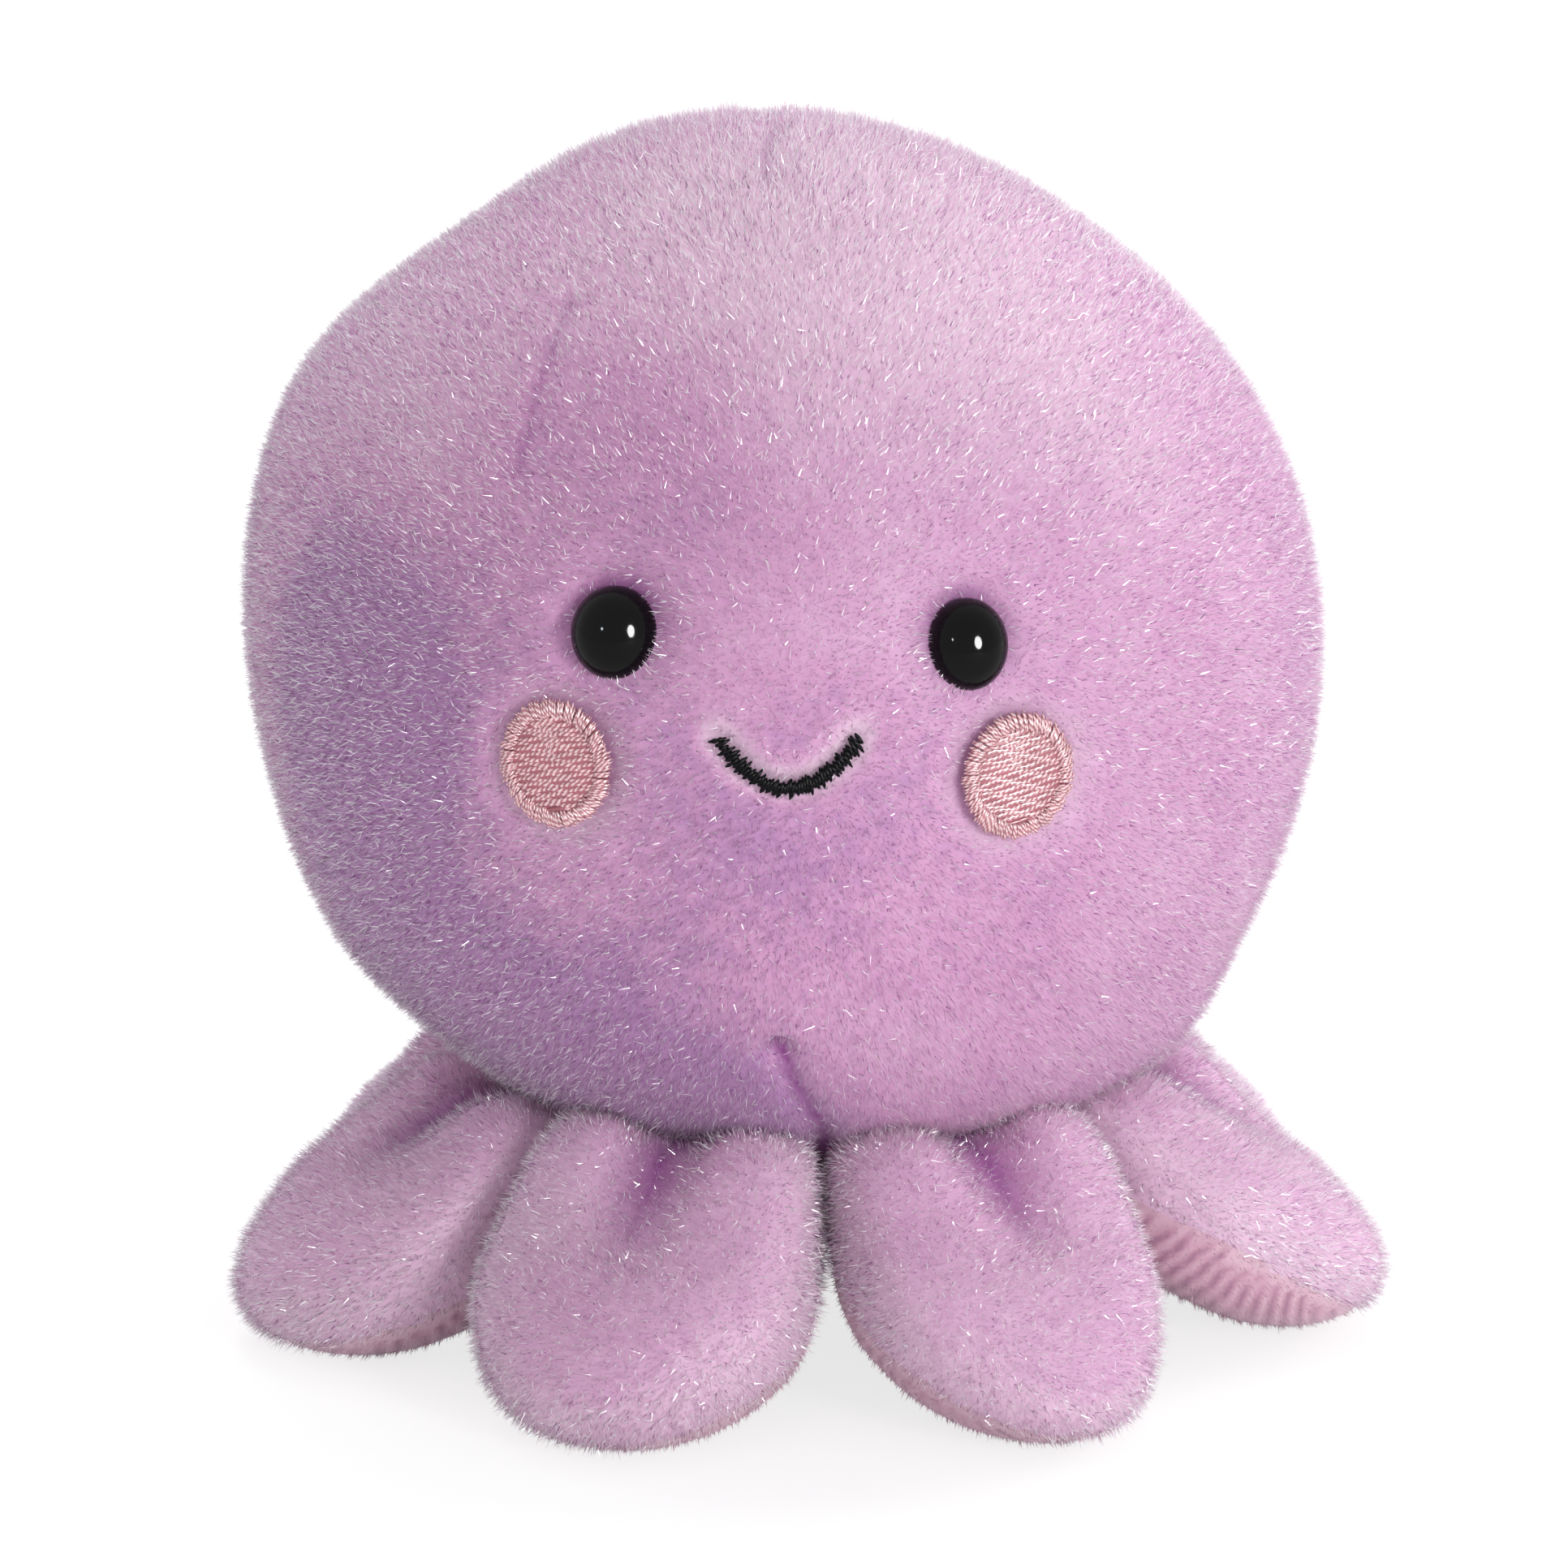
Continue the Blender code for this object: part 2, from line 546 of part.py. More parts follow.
    def solid(self, inset, segments, rings, overrun=0.0):
        """Closed bmesh, inset from the outer surface, its sides drawn on straight past the root by overrun."""
        shape = bmesh.new()
        bmesh.ops.create_uvsphere(shape, u_segments=segments, v_segments=2 * rings, radius=1.0)
        keep_below(shape, Vector((0.0, 0.0, 0.0)), Vector((0.0, 0.0, -1.0)))
        root = [vertex for vertex in shape.verts if vertex.co.z < MERGE_DISTANCE]
        for vertex in shape.verts:
            along = min(1.0, max(0.0, vertex.co.z))
            vertex.co = self.point(along, math.atan2(vertex.co.y, vertex.co.x), inset)
        for vertex in root:
            outer = next(edge.other_vert(vertex) for edge in vertex.link_edges if edge.other_vert(vertex) not in root)
            vertex.co += (vertex.co - outer.co).normalized() * overrun
        bmesh.ops.triangulate(shape, faces=shape.faces, quad_method="FIXED")
        return shape

    def seam_plane(self):
        """Point and upward normal of the plane in which the upper and the under panel meet."""
        root = self.point(0.0, math.radians(-90.0), 0.0)
        root.z += SEAM_ROOT_SHARE * self.thickness
        tip = Vector((self.reach - HINGE_RADIUS, 0.0, SEAM_TIP_HEIGHT - HINGE_HEIGHT))
        across = Vector((0.0, math.cos(self.seam_tilt), -math.sin(self.seam_tilt)))
        return root, (tip - root).cross(across).normalized()


def round_off(along, start):
    """Share of the full size along a tentacle that rounds off from start to its tip."""
    reach = max(0.0, (along - start) / (1.0 - start))
    return math.sqrt(max(0.0, 1.0 - reach ** 2))


def rounded(value, power):
    """Coordinate of a superellipse for a sine or cosine."""
    return math.copysign(abs(value) ** (2.0 / power), value)


def build_tentacles(parts, cutters, plush, pink, fibre):
    """Eight tentacles, each on an empty at its hinge: the seam that joins it to the head."""
    for index, azimuth in enumerate(TENTACLE_AZIMUTHS_DEG):
        number = index + 1
        angle = math.radians(azimuth)
        tentacle = Tentacle(index)
        hinge = bpy.data.objects.new(f"tentacle_{number}_hinge", None)
        hinge.location = (HINGE_RADIUS * math.sin(angle), -HINGE_RADIUS * math.cos(angle), HINGE_HEIGHT)
        hinge.rotation_euler = (0.0, 0.0, angle - math.pi / 2.0)
        parts.objects.link(hinge)
        name = f"tentacle_lining_{number}"
        shape = tentacle.solid(COVER_THICKNESS, LIMB_LINING_SEGMENTS, LIMB_LINING_RINGS, SEAM_GAP)
        lining = place(name, finish_mesh(name, shape), cutters, parent=hinge)
        point, normal = tentacle.seam_plane()
        for kind, side, material in (("top", -1.0, plush), ("underside", 1.0, pink)):
            name = f"tentacle_{kind}_{number}"
            shape = tentacle.solid(0.0, LIMB_SEGMENTS, LIMB_RINGS)
            keep_below(shape, point - normal * (side * SEAM_GAP / 2.0), normal * side)
            keep_below(shape, Vector((0.0, 0.0, -HINGE_HEIGHT)), Vector((0.0, 0.0, -1.0)))
            cut(place(name, finish_mesh(name, shape), parts, material, hinge), lining)
        name = f"tentacle_filling_{number}"
        shape = tentacle.solid(FILLING_INSET + SEAM_GAP, LIMB_LINING_SEGMENTS, LIMB_LINING_RINGS)
        place(name, finish_mesh(name, shape), parts, fibre, hinge)


def main():
    """Build the whole toy."""
    clear_scene()
    parts = make_collection("plush_octopus")
    cutters = make_collection("cutters")
    plush = make_material("lilac_plush", PLUSH, 0.9)
    pink = make_material("pink_plush", PINK_PLUSH, 0.9)
    fibre = make_material("stuffing", FIBRE, 1.0)
    panel = build_head_cover(parts, cutters, plush)
    filling = build_head_filling(parts, cutters, fibre)
    build_belly(parts, pink, make_material("bag_cloth", BAG_CLOTH, 0.9))
    eye_plastic = make_material("eye_plastic", EYE_PLASTIC, 0.08)
    washer_plastic = make_material("washer_plastic", WASHER_PLASTIC, 0.4)
    cheek_thread = make_material("cheek_thread", CHEEK_THREAD, 0.5)
    for side, index in (("left", 0), ("right", 1)):
        build_eye(side, EYE_AZIMUTHS_DEG[index], EYE_ELEVATIONS_DEG[index], parts, cutters, panel, filling,
                  eye_plastic, washer_plastic)
        build_cheek(side, CHEEK_AZIMUTHS_DEG[index], CHEEK_ELEVATIONS_DEG[index], parts, cutters, panel, cheek_thread)
    build_mouth(parts, cutters, panel, make_material("black_thread", BLACK_THREAD, 0.5))
    build_tentacles(parts, cutters, plush, pink, fibre)


main()
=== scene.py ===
"""Plush octopus: covers, pile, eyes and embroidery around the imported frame.

Metres, +Z up, the face towards -Y. The pile is made of real strands that stand on covers at the backing's level.
"""

import logging
import math
from collections.abc import Callable
from dataclasses import dataclass
from enum import Enum

import bmesh
import bpy
import numpy as np
from mathutils import Matrix, Vector


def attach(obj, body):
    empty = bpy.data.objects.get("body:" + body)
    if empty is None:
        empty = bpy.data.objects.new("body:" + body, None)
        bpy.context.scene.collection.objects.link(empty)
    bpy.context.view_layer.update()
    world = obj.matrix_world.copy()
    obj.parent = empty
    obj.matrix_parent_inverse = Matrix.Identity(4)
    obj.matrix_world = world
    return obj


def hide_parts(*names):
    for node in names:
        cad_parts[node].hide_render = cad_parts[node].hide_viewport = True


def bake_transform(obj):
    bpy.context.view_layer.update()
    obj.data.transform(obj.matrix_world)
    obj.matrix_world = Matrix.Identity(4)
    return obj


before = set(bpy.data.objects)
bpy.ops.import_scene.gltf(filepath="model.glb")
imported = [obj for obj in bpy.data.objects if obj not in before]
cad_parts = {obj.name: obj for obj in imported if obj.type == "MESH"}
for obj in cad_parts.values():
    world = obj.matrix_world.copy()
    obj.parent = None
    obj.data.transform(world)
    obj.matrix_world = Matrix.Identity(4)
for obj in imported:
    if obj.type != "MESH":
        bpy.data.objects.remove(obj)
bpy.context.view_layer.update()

Array = np.ndarray
Number = Array | float
Colour = tuple[float, float, float]
Material = bpy.types.Material
Mesh = bpy.types.Mesh
Object = bpy.types.Object
Socket = bpy.types.NodeSocket
LOG = logging.getLogger("plush_octopus")
UP = np.array((0.0, 0.0, 1.0))
WHITE = (1.0, 1.0, 1.0)
# A distance past every dent's width
FAR = 1.0
FLOOR_CLEARANCE = 0.00005
# Constants that turn a cell of space into three numbers that look random
HASH_WAY = np.array((12.9898, 78.233, 37.719))
HASH_SIZES = np.array((43758.5, 24634.6, 35123.1))


class Slot(Enum):
    """Finishes of the record, named in the calls that fix the new pieces."""

    LILAC = "lilac_plush"
    PINK = "pink_plush"
    EYE = "eye_plastic"
    CHEEK = "cheek_thread"
    MOUTH = "black_thread"


class Side(Enum):
    """Side of the face, as someone facing the toy sees it."""

    LEFT = 0
    RIGHT = 1

    @property
    def word(self) -> str:
        """The side in the names of pieces."""
        return self.name.lower()


# Geometry helpers
def smooth(share: Number) -> Number:
    """Ease from 0 to 1 as a share goes from 0 to 1."""
    share = np.clip(share, 0.0, 1.0)
    return share * share * (3.0 - 2.0 * share)


def fade(share: Number) -> Number:
    """Ease from 1 to 0 as a share goes from 0 to 1."""
    return 1.0 - smooth(share)


def bell(share: Number) -> Number:
    """Bell curve that is 1 at its middle."""
    return np.exp(-share ** 2)


def unit(vectors: Array) -> Array:
    """Scale vectors to a length of 1."""
    return vectors / np.maximum(np.linalg.norm(vectors, axis=-1, keepdims=True), 1e-12)


def dots(first: Array, second: Array) -> Array:
    """Dot products of two rows of vectors."""
    return np.sum(first * second, axis=-1)


def heading(azimuth_deg: Number, elevation_deg: Number) -> Array:
    """Unit vectors from the head's middle, azimuth counted from the face towards +X."""
    azimuth, elevation = np.radians(azimuth_deg), np.radians(elevation_deg)
    flat = np.cos(elevation)
    return np.stack([flat * np.sin(azimuth), -flat * np.cos(azimuth), np.sin(elevation) + 0.0 * azimuth], axis=-1)


def angles_to(ways: Array, aims: Array) -> Array:
    """Angles in degrees between headings and the nearest of one or more other headings."""
    nearest = np.full(len(ways), -1.0)
    for aim in np.atleast_2d(aims):
        nearest = np.maximum(nearest, ways @ aim)
    return np.degrees(np.arccos(np.minimum(nearest, 1.0)))


def along_path(points_deg: tuple, count: int = 40) -> Array:
    """Headings spaced evenly along a path of (azimuth, elevation) points."""
    table = np.array(points_deg, float)
    place = np.linspace(0.0, len(table) - 1.0, count)
    return heading(*(np.interp(place, range(len(table)), table[:, column]) for column in (0, 1)))


def hills(ways: Array, rows: tuple, level: float = 0.0) -> Array:
    """Sum of bell-shaped hills on a level, each row an azimuth, elevation and spread in degrees, and a height."""
    total = np.full(len(ways), level)
    for azimuth, elevation, spread, height in rows:
        total += height * bell(angles_to(ways, heading(azimuth, elevation)) / spread)
    return total


def add_object(name: str, mesh: Mesh, finishes: list[Material]) -> Object:
    """Link a mesh as an object with its materials."""
    item = bpy.data.objects.new(name, mesh)
    bpy.context.scene.collection.objects.link(item)
    for finish in finishes:
        mesh.materials.append(finish)
    return item


def to_mesh(name: str, shape: bmesh.types.BMesh, shade_smooth: bool = True) -> Mesh:
    """Turn a bmesh into a mesh whose faces point outwards."""
    shape.normal_update()
    bmesh.ops.recalc_face_normals(shape, faces=shape.faces)
    mesh = bpy.data.meshes.new(name)
    shape.to_mesh(mesh)
    shape.free()
    if shade_smooth:
        mesh.shade_smooth()
    return mesh


def turn_profile(profile: list[tuple[float, float]], steps: int = 72) -> bmesh.types.BMesh:
    """Spin a profile of (radius, height) points about the Z axis, with its seam and poles closed."""
    shape = bmesh.new()
    ring = [shape.verts.new((radius, 0.0, height)) for radius, height in profile]
    edges = [shape.edges.new(pair) for pair in zip(ring, ring[1:])]
    bmesh.ops.spin(shape, geom=ring + edges, cent=(0.0, 0.0, 0.0), axis=(0.0, 0.0, 1.0), angle=math.tau,
                   steps=steps, use_merge=True)
    bmesh.ops.remove_doubles(shape, verts=shape.verts, dist=1e-7)
    return shape


def read_rows(items: object, field: str, kind: type = float) -> Array:
    """The three values that each vertex, normal or triangle of a mesh has, as rows."""
    values = np.empty(len(items) * 3, kind)
    items.foreach_get(field, values)
    return values.reshape(-1, 3)


def move_points(mesh: Mesh, points: Array) -> None:
    """Give a mesh's vertices new places."""
    mesh.vertices.foreach_set("co", points.ravel())
    mesh.update()


def write_mark(mesh: Mesh, name: str, values: Array) -> None:
    """Store a value on each vertex, for the material."""
    mark = mesh.attributes.new(name, "FLOAT", "POINT")
    mark.data.foreach_set("value", np.asarray(values, np.float32))


def fix(piece: Object, slot: Slot, *replaced: str) -> None:
    """Let a piece ride on the toy's root, in place of the CAD nodes that it stands for."""
    if replaced:
        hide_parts(*replaced)
    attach(piece, "root")


# Finishes
class Nodes:
    """A node tree under way."""

    def __init__(self, tree: bpy.types.NodeTree) -> None:
        """Take up a tree."""
        self.tree = tree

    def node(self, kind: str, **settings: object) -> bpy.types.Node:
        """Add a node and set its properties."""
        made = self.tree.nodes.new(kind)
        for key, value in settings.items():
            setattr(made, key, value)
        return made

    def put(self, value: object, target: Socket) -> None:
        """Join a socket to a target, or set the target to a value."""
        if isinstance(value, Socket):
            self.tree.links.new(value, target)
        else:
            target.default_value = value

    def noise(self, scale: float, detail: float = 2.0, roughness: float = 0.5) -> Socket:
        """Cloudy noise on Object coordinates."""
        made = self.node("ShaderNodeTexNoise")
        place = self.node("ShaderNodeTexCoord").outputs["Object"]
        for key, value in (("Scale", scale), ("Detail", detail), ("Roughness", roughness), ("Vector", place)):
            self.put(value, made.inputs[key])
        return made.outputs["Fac"]

    def mark(self, name: str) -> Socket:
        """Read a value stored on the mesh."""
        return self.node("ShaderNodeAttribute", attribute_name=name).outputs["Fac"]

    def calc(self, operation: str, first: object, second: object = 0.0) -> Socket:
        """Work out a value from two others."""
        made = self.node("ShaderNodeMath", operation=operation)
        self.put(first, made.inputs[0])
        self.put(second, made.inputs[1])
        return made.outputs[0]

    def span(self, value: Socket, low: float, high: float, first: float, last: float) -> Socket:
        """Map a value from one range to another."""
        made = self.node("ShaderNodeMapRange")
        for socket, number in zip(made.inputs, (value, low, high, first, last)):
            self.put(number, socket)
        return made.outputs[0]

    def ramp(self, value: Socket, stops: tuple) -> Socket:
        """A colour ramp of (place, colour) stops."""
        made = self.node("ShaderNodeValToRGB")
        places = made.color_ramp.elements
        while len(places) < len(stops):
            places.new(0.5)
        for stop, (place, colour) in zip(places, stops):
            stop.position = place
            stop.color = (*colour, 1.0)
        self.put(value, made.inputs["Fac"])
        return made.outputs["Color"]

    def mix(self, share: object, first: object, second: object, blend: str = "MIX") -> Socket:
        """Mix two colours."""
        made = self.node("ShaderNodeMix", data_type="RGBA", blend_type=blend)
        self.put(share, made.inputs["Factor"])
        for socket, colour in zip(made.inputs[6:8], (first, second)):
            self.put((*colour, 1.0) if isinstance(colour, tuple) else colour, socket)
        return made.outputs[2]

    def seen(self) -> Socket:
        """1 for rays from the camera, a mirror or glass, which see the white surround, and 0 for light."""
        path = self.node("ShaderNodeLightPath").outputs
        direct = self.calc("MAXIMUM", path["Is Camera Ray"], path["Is Glossy Ray"])
        return self.calc("MAXIMUM", direct, path["Is Transmission Ray"])


class Recipe(Nodes):
    """A material under way."""

    def __init__(self, name: str, roughness: float, specular: float) -> None:
        """Start a material from a Principled shader."""
        self.material = bpy.data.materials.new(name)
        self.material.use_nodes = True
        super().__init__(self.material.node_tree)
        self.set({"Roughness": roughness, "Specular IOR Level": specular})

    def set(self, values: dict[str, object]) -> None:
        """Set or join sockets of the shader."""
        for name, value in values.items():
            self.put(value, self.tree.nodes["Principled BSDF"].inputs[name])


@dataclass(frozen=True)
class PlushFinish:
    """Dyed pile: soft cloudy mottle of three shades, with painted shade at the roots, between strands and in creases,
    and painted highlights on the tips and the glinting strands.
    """

    name: str
    # Colour of the painted shade between strands and in creases
    shade_colour: Colour
    dark: Colour
    middle: Colour
    pale: Colour
    # Colour of the painted highlights on the tips and on the glinting strands
    glint: Colour
    root_shade: float = 0.82
    root_end: float = 0.7
    tip_highlight_share: float = 0.60
    tip_highlight_start: float = 0.45
    glint_highlight_end: float = 0.30
    shade_tick_share: float = 0.16
    shade_tick_strength: float = 0.65
    chance_strength: float = 0.25
    cloud_scale: float = 42.0
    cloud_strength: float = 1.3
    fleck_scale: float = 520.0
    fleck_strength: float = 0.9
    roughness: float = 0.60
    specular: float = 0.12
    sheen: float = 0.50
    sheen_roughness: float = 0.5
    sheen_tint: Colour = (1.0, 0.90, 0.98)

    def make(self) -> Material:
        """Build the material.

        Returns:
            The material, which reads the marks rise and chance, and the marks of the dye's tone with its painted light
            and shade, of painted shade, and of painted highlights on glinting strands.
        """
        recipe = Recipe(self.name, self.roughness, self.specular)
        chance, rise = recipe.mark("chance"), recipe.mark("rise")
        tone = recipe.mark("blush")
        for wave, strength in ((recipe.noise(self.cloud_scale, 3.0, 0.55), self.cloud_strength),
                               (recipe.noise(self.fleck_scale, 2.0, 0.6), self.fleck_strength),
                               (chance, self.chance_strength)):
            change = recipe.calc("MULTIPLY", recipe.calc("SUBTRACT", wave, 0.5), strength)
            tone = recipe.calc("ADD", tone, change)
        dye = recipe.ramp(recipe.span(tone, -1.0, 1.0, 0.0, 1.0),
                          ((0.0, self.dark), (0.20, self.dark), (0.50, self.middle), (1.0, self.pale)))
        # Painted shade: darker towards the strands' roots
        colour = recipe.mix(1.0, dye, recipe.span(rise, 0.0, self.root_end, self.root_shade, 1.0), "MULTIPLY")
        # Painted shade between strands: a share of them dyed towards the shade colour
        shade_tick = recipe.calc("MULTIPLY", recipe.calc("LESS_THAN", chance, self.shade_tick_share), self.shade_tick_strength)
        # Painted highlight: the tips pale towards the glint colour, as sheen where strands are seen side-on
        tip = recipe.span(rise, self.tip_highlight_start, 1.0, 0.0, self.tip_highlight_share)
        # Painted highlight: glinting strands take the glint colour over their length
        glint_highlight = recipe.calc("MULTIPLY", recipe.mark("glint"), recipe.span(rise, 0.0, self.glint_highlight_end, 0.0, 1.0))
        # Mix in the painted shade between strands, the painted highlights and the painted shade of creases
        for share, paint in ((shade_tick, self.shade_colour), (tip, self.glint), (glint_highlight, self.glint),
                             (recipe.mark("crease"), self.shade_colour)):
            colour = recipe.mix(share, colour, paint)
        recipe.set({"Base Color": colour, "Sheen Weight": self.sheen, "Sheen Roughness": self.sheen_roughness,
                    "Sheen Tint": (*self.sheen_tint, 1.0)})
        return recipe.material


@dataclass(frozen=True)
class GlossFinish:
    """Moulded gloss plastic with faint dust and handling marks."""

    name: str
    colour: Colour
    roughness: float = 0.05
    specular: float = 0.25
    dust: float = 0.06
    dust_scale: float = 900.0
    lift: float = 0.3
    lift_scale: float = 260.0

    def make(self) -> Material:
        """Build the material."""
        recipe = Recipe(self.name, self.roughness, self.specular)
        dust = recipe.span(recipe.noise(self.dust_scale, 4.0), 0.35, 0.75, self.roughness,
                           self.roughness + self.dust)
        lift = recipe.span(recipe.noise(self.lift_scale), 0.3, 0.8, 1.0 - self.lift, 1.0 + self.lift)
        recipe.set({"Roughness": dust, "Base Color": recipe.mix(1.0, self.colour, lift, "MULTIPLY")})
        return recipe.material


@dataclass(frozen=True)
class ThreadFinish:
    """Shiny embroidery thread, its two plies painted from shadow to highlight along the stitch."""

    name: str
    shadow: Colour
    colour: Colour
    light: Colour
    roughness: float
    specular: float
    anisotropy: float = 0.4
    wear: tuple[float, float] = (0.86, 1.1)
    wear_scale: float = 700.0

    def make(self) -> Material:
        """Build the material, which reads the mark twist: the turn of the plies along the thread."""
        recipe = Recipe(self.name, self.roughness, self.specular)
        # Painted shade and highlight: the plies run from the shadow colour to the light colour with their twist
        tone = recipe.span(recipe.calc("SINE", recipe.mark("twist")), -1.0, 1.0, 0.0, 1.0)
        dye = recipe.ramp(tone, ((0.0, self.shadow), (0.45, self.colour), (1.0, self.light)))
        worn = recipe.span(recipe.noise(self.wear_scale, 3.0), 0.3, 0.7, *self.wear)
        recipe.set({"Base Color": recipe.mix(1.0, dye, worn, "MULTIPLY"), "Anisotropic": self.anisotropy})
        return recipe.material


# Pile
@dataclass
class Ground:
    """Places scattered evenly over a cover, with their normals and the values stored there."""

    roots: Array
    normals: Array
    values: dict[str, Array]

    def keep(self, chosen: Array) -> "Ground":
        """The places that a mask chooses."""
        return Ground(self.roots[chosen], self.normals[chosen], {k: v[chosen] for k, v in self.values.items()})


@dataclass(frozen=True)
class Pile:
    """Strands of a plush: each is a narrow blade with a face on either side, that leans with the nap."""

    finish: Material
    density: float
    length: float
    width: float
    lean_deg: float
    scatter: float
    # Share of the painted highlight colour that the strands take
    glint: float = 0.0
    facing_scatter: float = 0.08
    clump: float = 0.12
    clump_size: float = 0.0007
    turn: float = 0.9
    root_depth: float = 0.0003
    thickness: float = 0.00001
    outer_turn: float = 0.30
    inner_turn: float = 0.95
    shortest: float = 0.75
    longest: float = 1.50
    width_range: tuple[float, float] = (0.75, 1.2)
    painted_glint_range: tuple[float, float] = (0.7, 1.0)

    def clumps(self, roots: Array) -> Array:
        """Ways in which strands clump, alike within each small cell of space."""
        hashed = np.sin(np.floor(roots / self.clump_size) @ HASH_WAY)[:, None] * HASH_SIZES
        return (hashed - np.floor(hashed)) * 2.0 - 1.0

    def grow(self, name: str, ground: Ground, nap: Array, rng: np.random.Generator) -> Object:
        """Grow strands on given ground.

        Args:
            name: The piece's name.
            ground: Where the strands stand, with the values for the dye's tone with its painted light and shade, for
                painted shade, and reach, a share of the length.
            nap: The nap's directions there, along the cover.
            rng: The source of chance.

        Returns:
            The strands as one object.
        """
        roots, normals, marks = ground.roots, ground.normals, ground.values
        count = len(roots)
        share = self.shortest + (self.longest - self.shortest) * rng.uniform(0.0, 1.0, count) ** 2
        length = (self.length * marks["reach"] * share)[:, None]
        wander = rng.normal(0.0, self.scatter, (count, 3))
        way = unit(normals + nap * math.tan(math.radians(self.lean_deg)) + wander
                   + self.clump * self.clumps(roots))
        turn = rng.uniform(-self.turn, self.turn, count)[:, None]
        across = unit(np.cross(way, nap))
        side = across * np.cos(turn) + np.cross(way, across) * np.sin(turn)
        front = np.cross(side, way)
        flip = np.where(dots(front, normals) < 0.0, -1.0, 1.0)[:, None]
        side, front = side * flip, unit(front * flip)
        side = side * self.width / 2.0 * rng.uniform(*self.width_range, count)[:, None]
        low = roots - normals * self.root_depth
        tip = low + way * length
        points = np.stack([low - side, low + side, tip, tip - front * self.thickness], axis=1)
        points[..., 2] = np.maximum(points[..., 2], FLOOR_CLEARANCE)
        mesh = self.weave(name, points)
        facing = normals + rng.normal(0.0, self.facing_scatter, (count, 3))
        sides = [np.repeat(unit(facing + tilt * front)[:, None], 3, axis=1)
                 for tilt in (self.outer_turn, -self.inner_turn)]
        mesh.normals_split_custom_set(np.concatenate(sides, axis=1).reshape(-1, 3))
        write_mark(mesh, "rise", np.tile([0.0, 0.0, 1.0, 1.0], count))
        for mark, values in (("chance", rng.uniform(0.0, 1.0, count)),
                             ("glint", rng.uniform(*self.painted_glint_range, count) * self.glint),
                             ("blush", marks["blush"]), ("crease", marks["crease"])):
            write_mark(mesh, mark, np.repeat(values, 4))
        return add_object(name, mesh, [self.finish])

    @staticmethod
    def weave(name: str, points: Array) -> Mesh:
        """Join each strand's points into its two faces, each with a patch of its own on the bake's map."""
        count = len(points)
        mesh = bpy.data.meshes.new(name)
        mesh.vertices.add(count * 4)
        mesh.vertices.foreach_set("co", points.ravel())
        order = np.arange(count)[:, None]
        mesh.loops.add(count * 6)
        mesh.loops.foreach_set("vertex_index", (order * 4 + np.array((0, 1, 2, 1, 0, 3))).ravel())
        mesh.polygons.add(count * 2)
        mesh.polygons.foreach_set("loop_start", np.arange(count * 2) * 3)
        mesh.update(calc_edges=True)
        columns = math.ceil(math.sqrt(count))
        cell = np.stack([np.arange(count) % columns, np.arange(count) // columns], axis=1)
        patch = ((0.05, 0.05), (0.85, 0.05), (0.05, 0.85), (0.95, 0.15), (0.15, 0.95), (0.95, 0.95))
        places = (cell[:, None, :] + np.array(patch)[None]) / columns
        mesh.uv_layers.new(name="OFBake").data.foreach_set("uv", places.ravel())
        mesh.shade_smooth()
        return mesh


@dataclass(frozen=True)
class Plushes:
    """The long lilac pile, the white glinting strands among it, which are painted highlights, and the short pink pile.
    """

    long: Pile
    glints: Pile
    short: Pile


def mark_cover(mesh: Mesh, blush: Array, crease: Array) -> None:
    """Store what the plush's material reads on a cover, which shows between the strands."""
    ones = np.ones(len(mesh.vertices))
    # On a cover, rise 0.5 gives part of the strands' painted root shade and a trace of their painted tip highlight
    for name, values in (("blush", blush), ("crease", crease), ("rise", 0.5), ("chance", 0.5), ("glint", 0.0)):
        write_mark(mesh, name, values * ones)


def scatter(mesh: Mesh, density: float, rng: np.random.Generator, names: tuple[str, ...] = ()) -> Ground:
    """Scatter places over a mesh.

    Args:
        mesh: The cover.
        density: Places per square metre.
        rng: The source of chance.
        names: The stored values to read at each place.

    Returns:
        The places with their normals and values.
    """
    mesh.calc_loop_triangles()
    corners = read_rows(mesh.loop_triangles, "vertices", np.int64)
    points = read_rows(mesh.vertices, "co")
    normals = read_rows(mesh.vertex_normals, "vector")
    first, second, third = (points[corners[:, i]] for i in range(3))
    wanted = np.linalg.norm(np.cross(second - first, third - first), axis=1) / 2.0 * density
    counts = np.floor(wanted + rng.uniform(0.0, 1.0, len(wanted))).astype(int)
    chosen = np.repeat(corners, counts, axis=0)
    u, v = rng.uniform(0.0, 1.0, (2, len(chosen)))
    over = u + v > 1.0
    u[over], v[over] = 1.0 - u[over], 1.0 - v[over]
    weights = np.stack([1.0 - u - v, u, v], axis=1)[..., None]
    values = {}
    for name in names:
        stored = np.empty(len(points), np.float32)
        mesh.attributes[name].data.foreach_get("value", stored)
        values[name] = (stored[chosen][..., None] * weights).sum(1)[:, 0]
    return Ground((points[chosen] * weights).sum(1), unit((normals[chosen] * weights).sum(1)), values)


# Head
@dataclass(frozen=True)
class Dent:
    """What a seat, fold or seam does to the cover: its sink, its painted shade and its cut of the pile, and their
    widths.
    """

    sink: Number
    tone: Number
    cut: Number
    sink_width: float = 0.0014
    shade_width: float = 0.00055
    cut_width: float = 0.0008


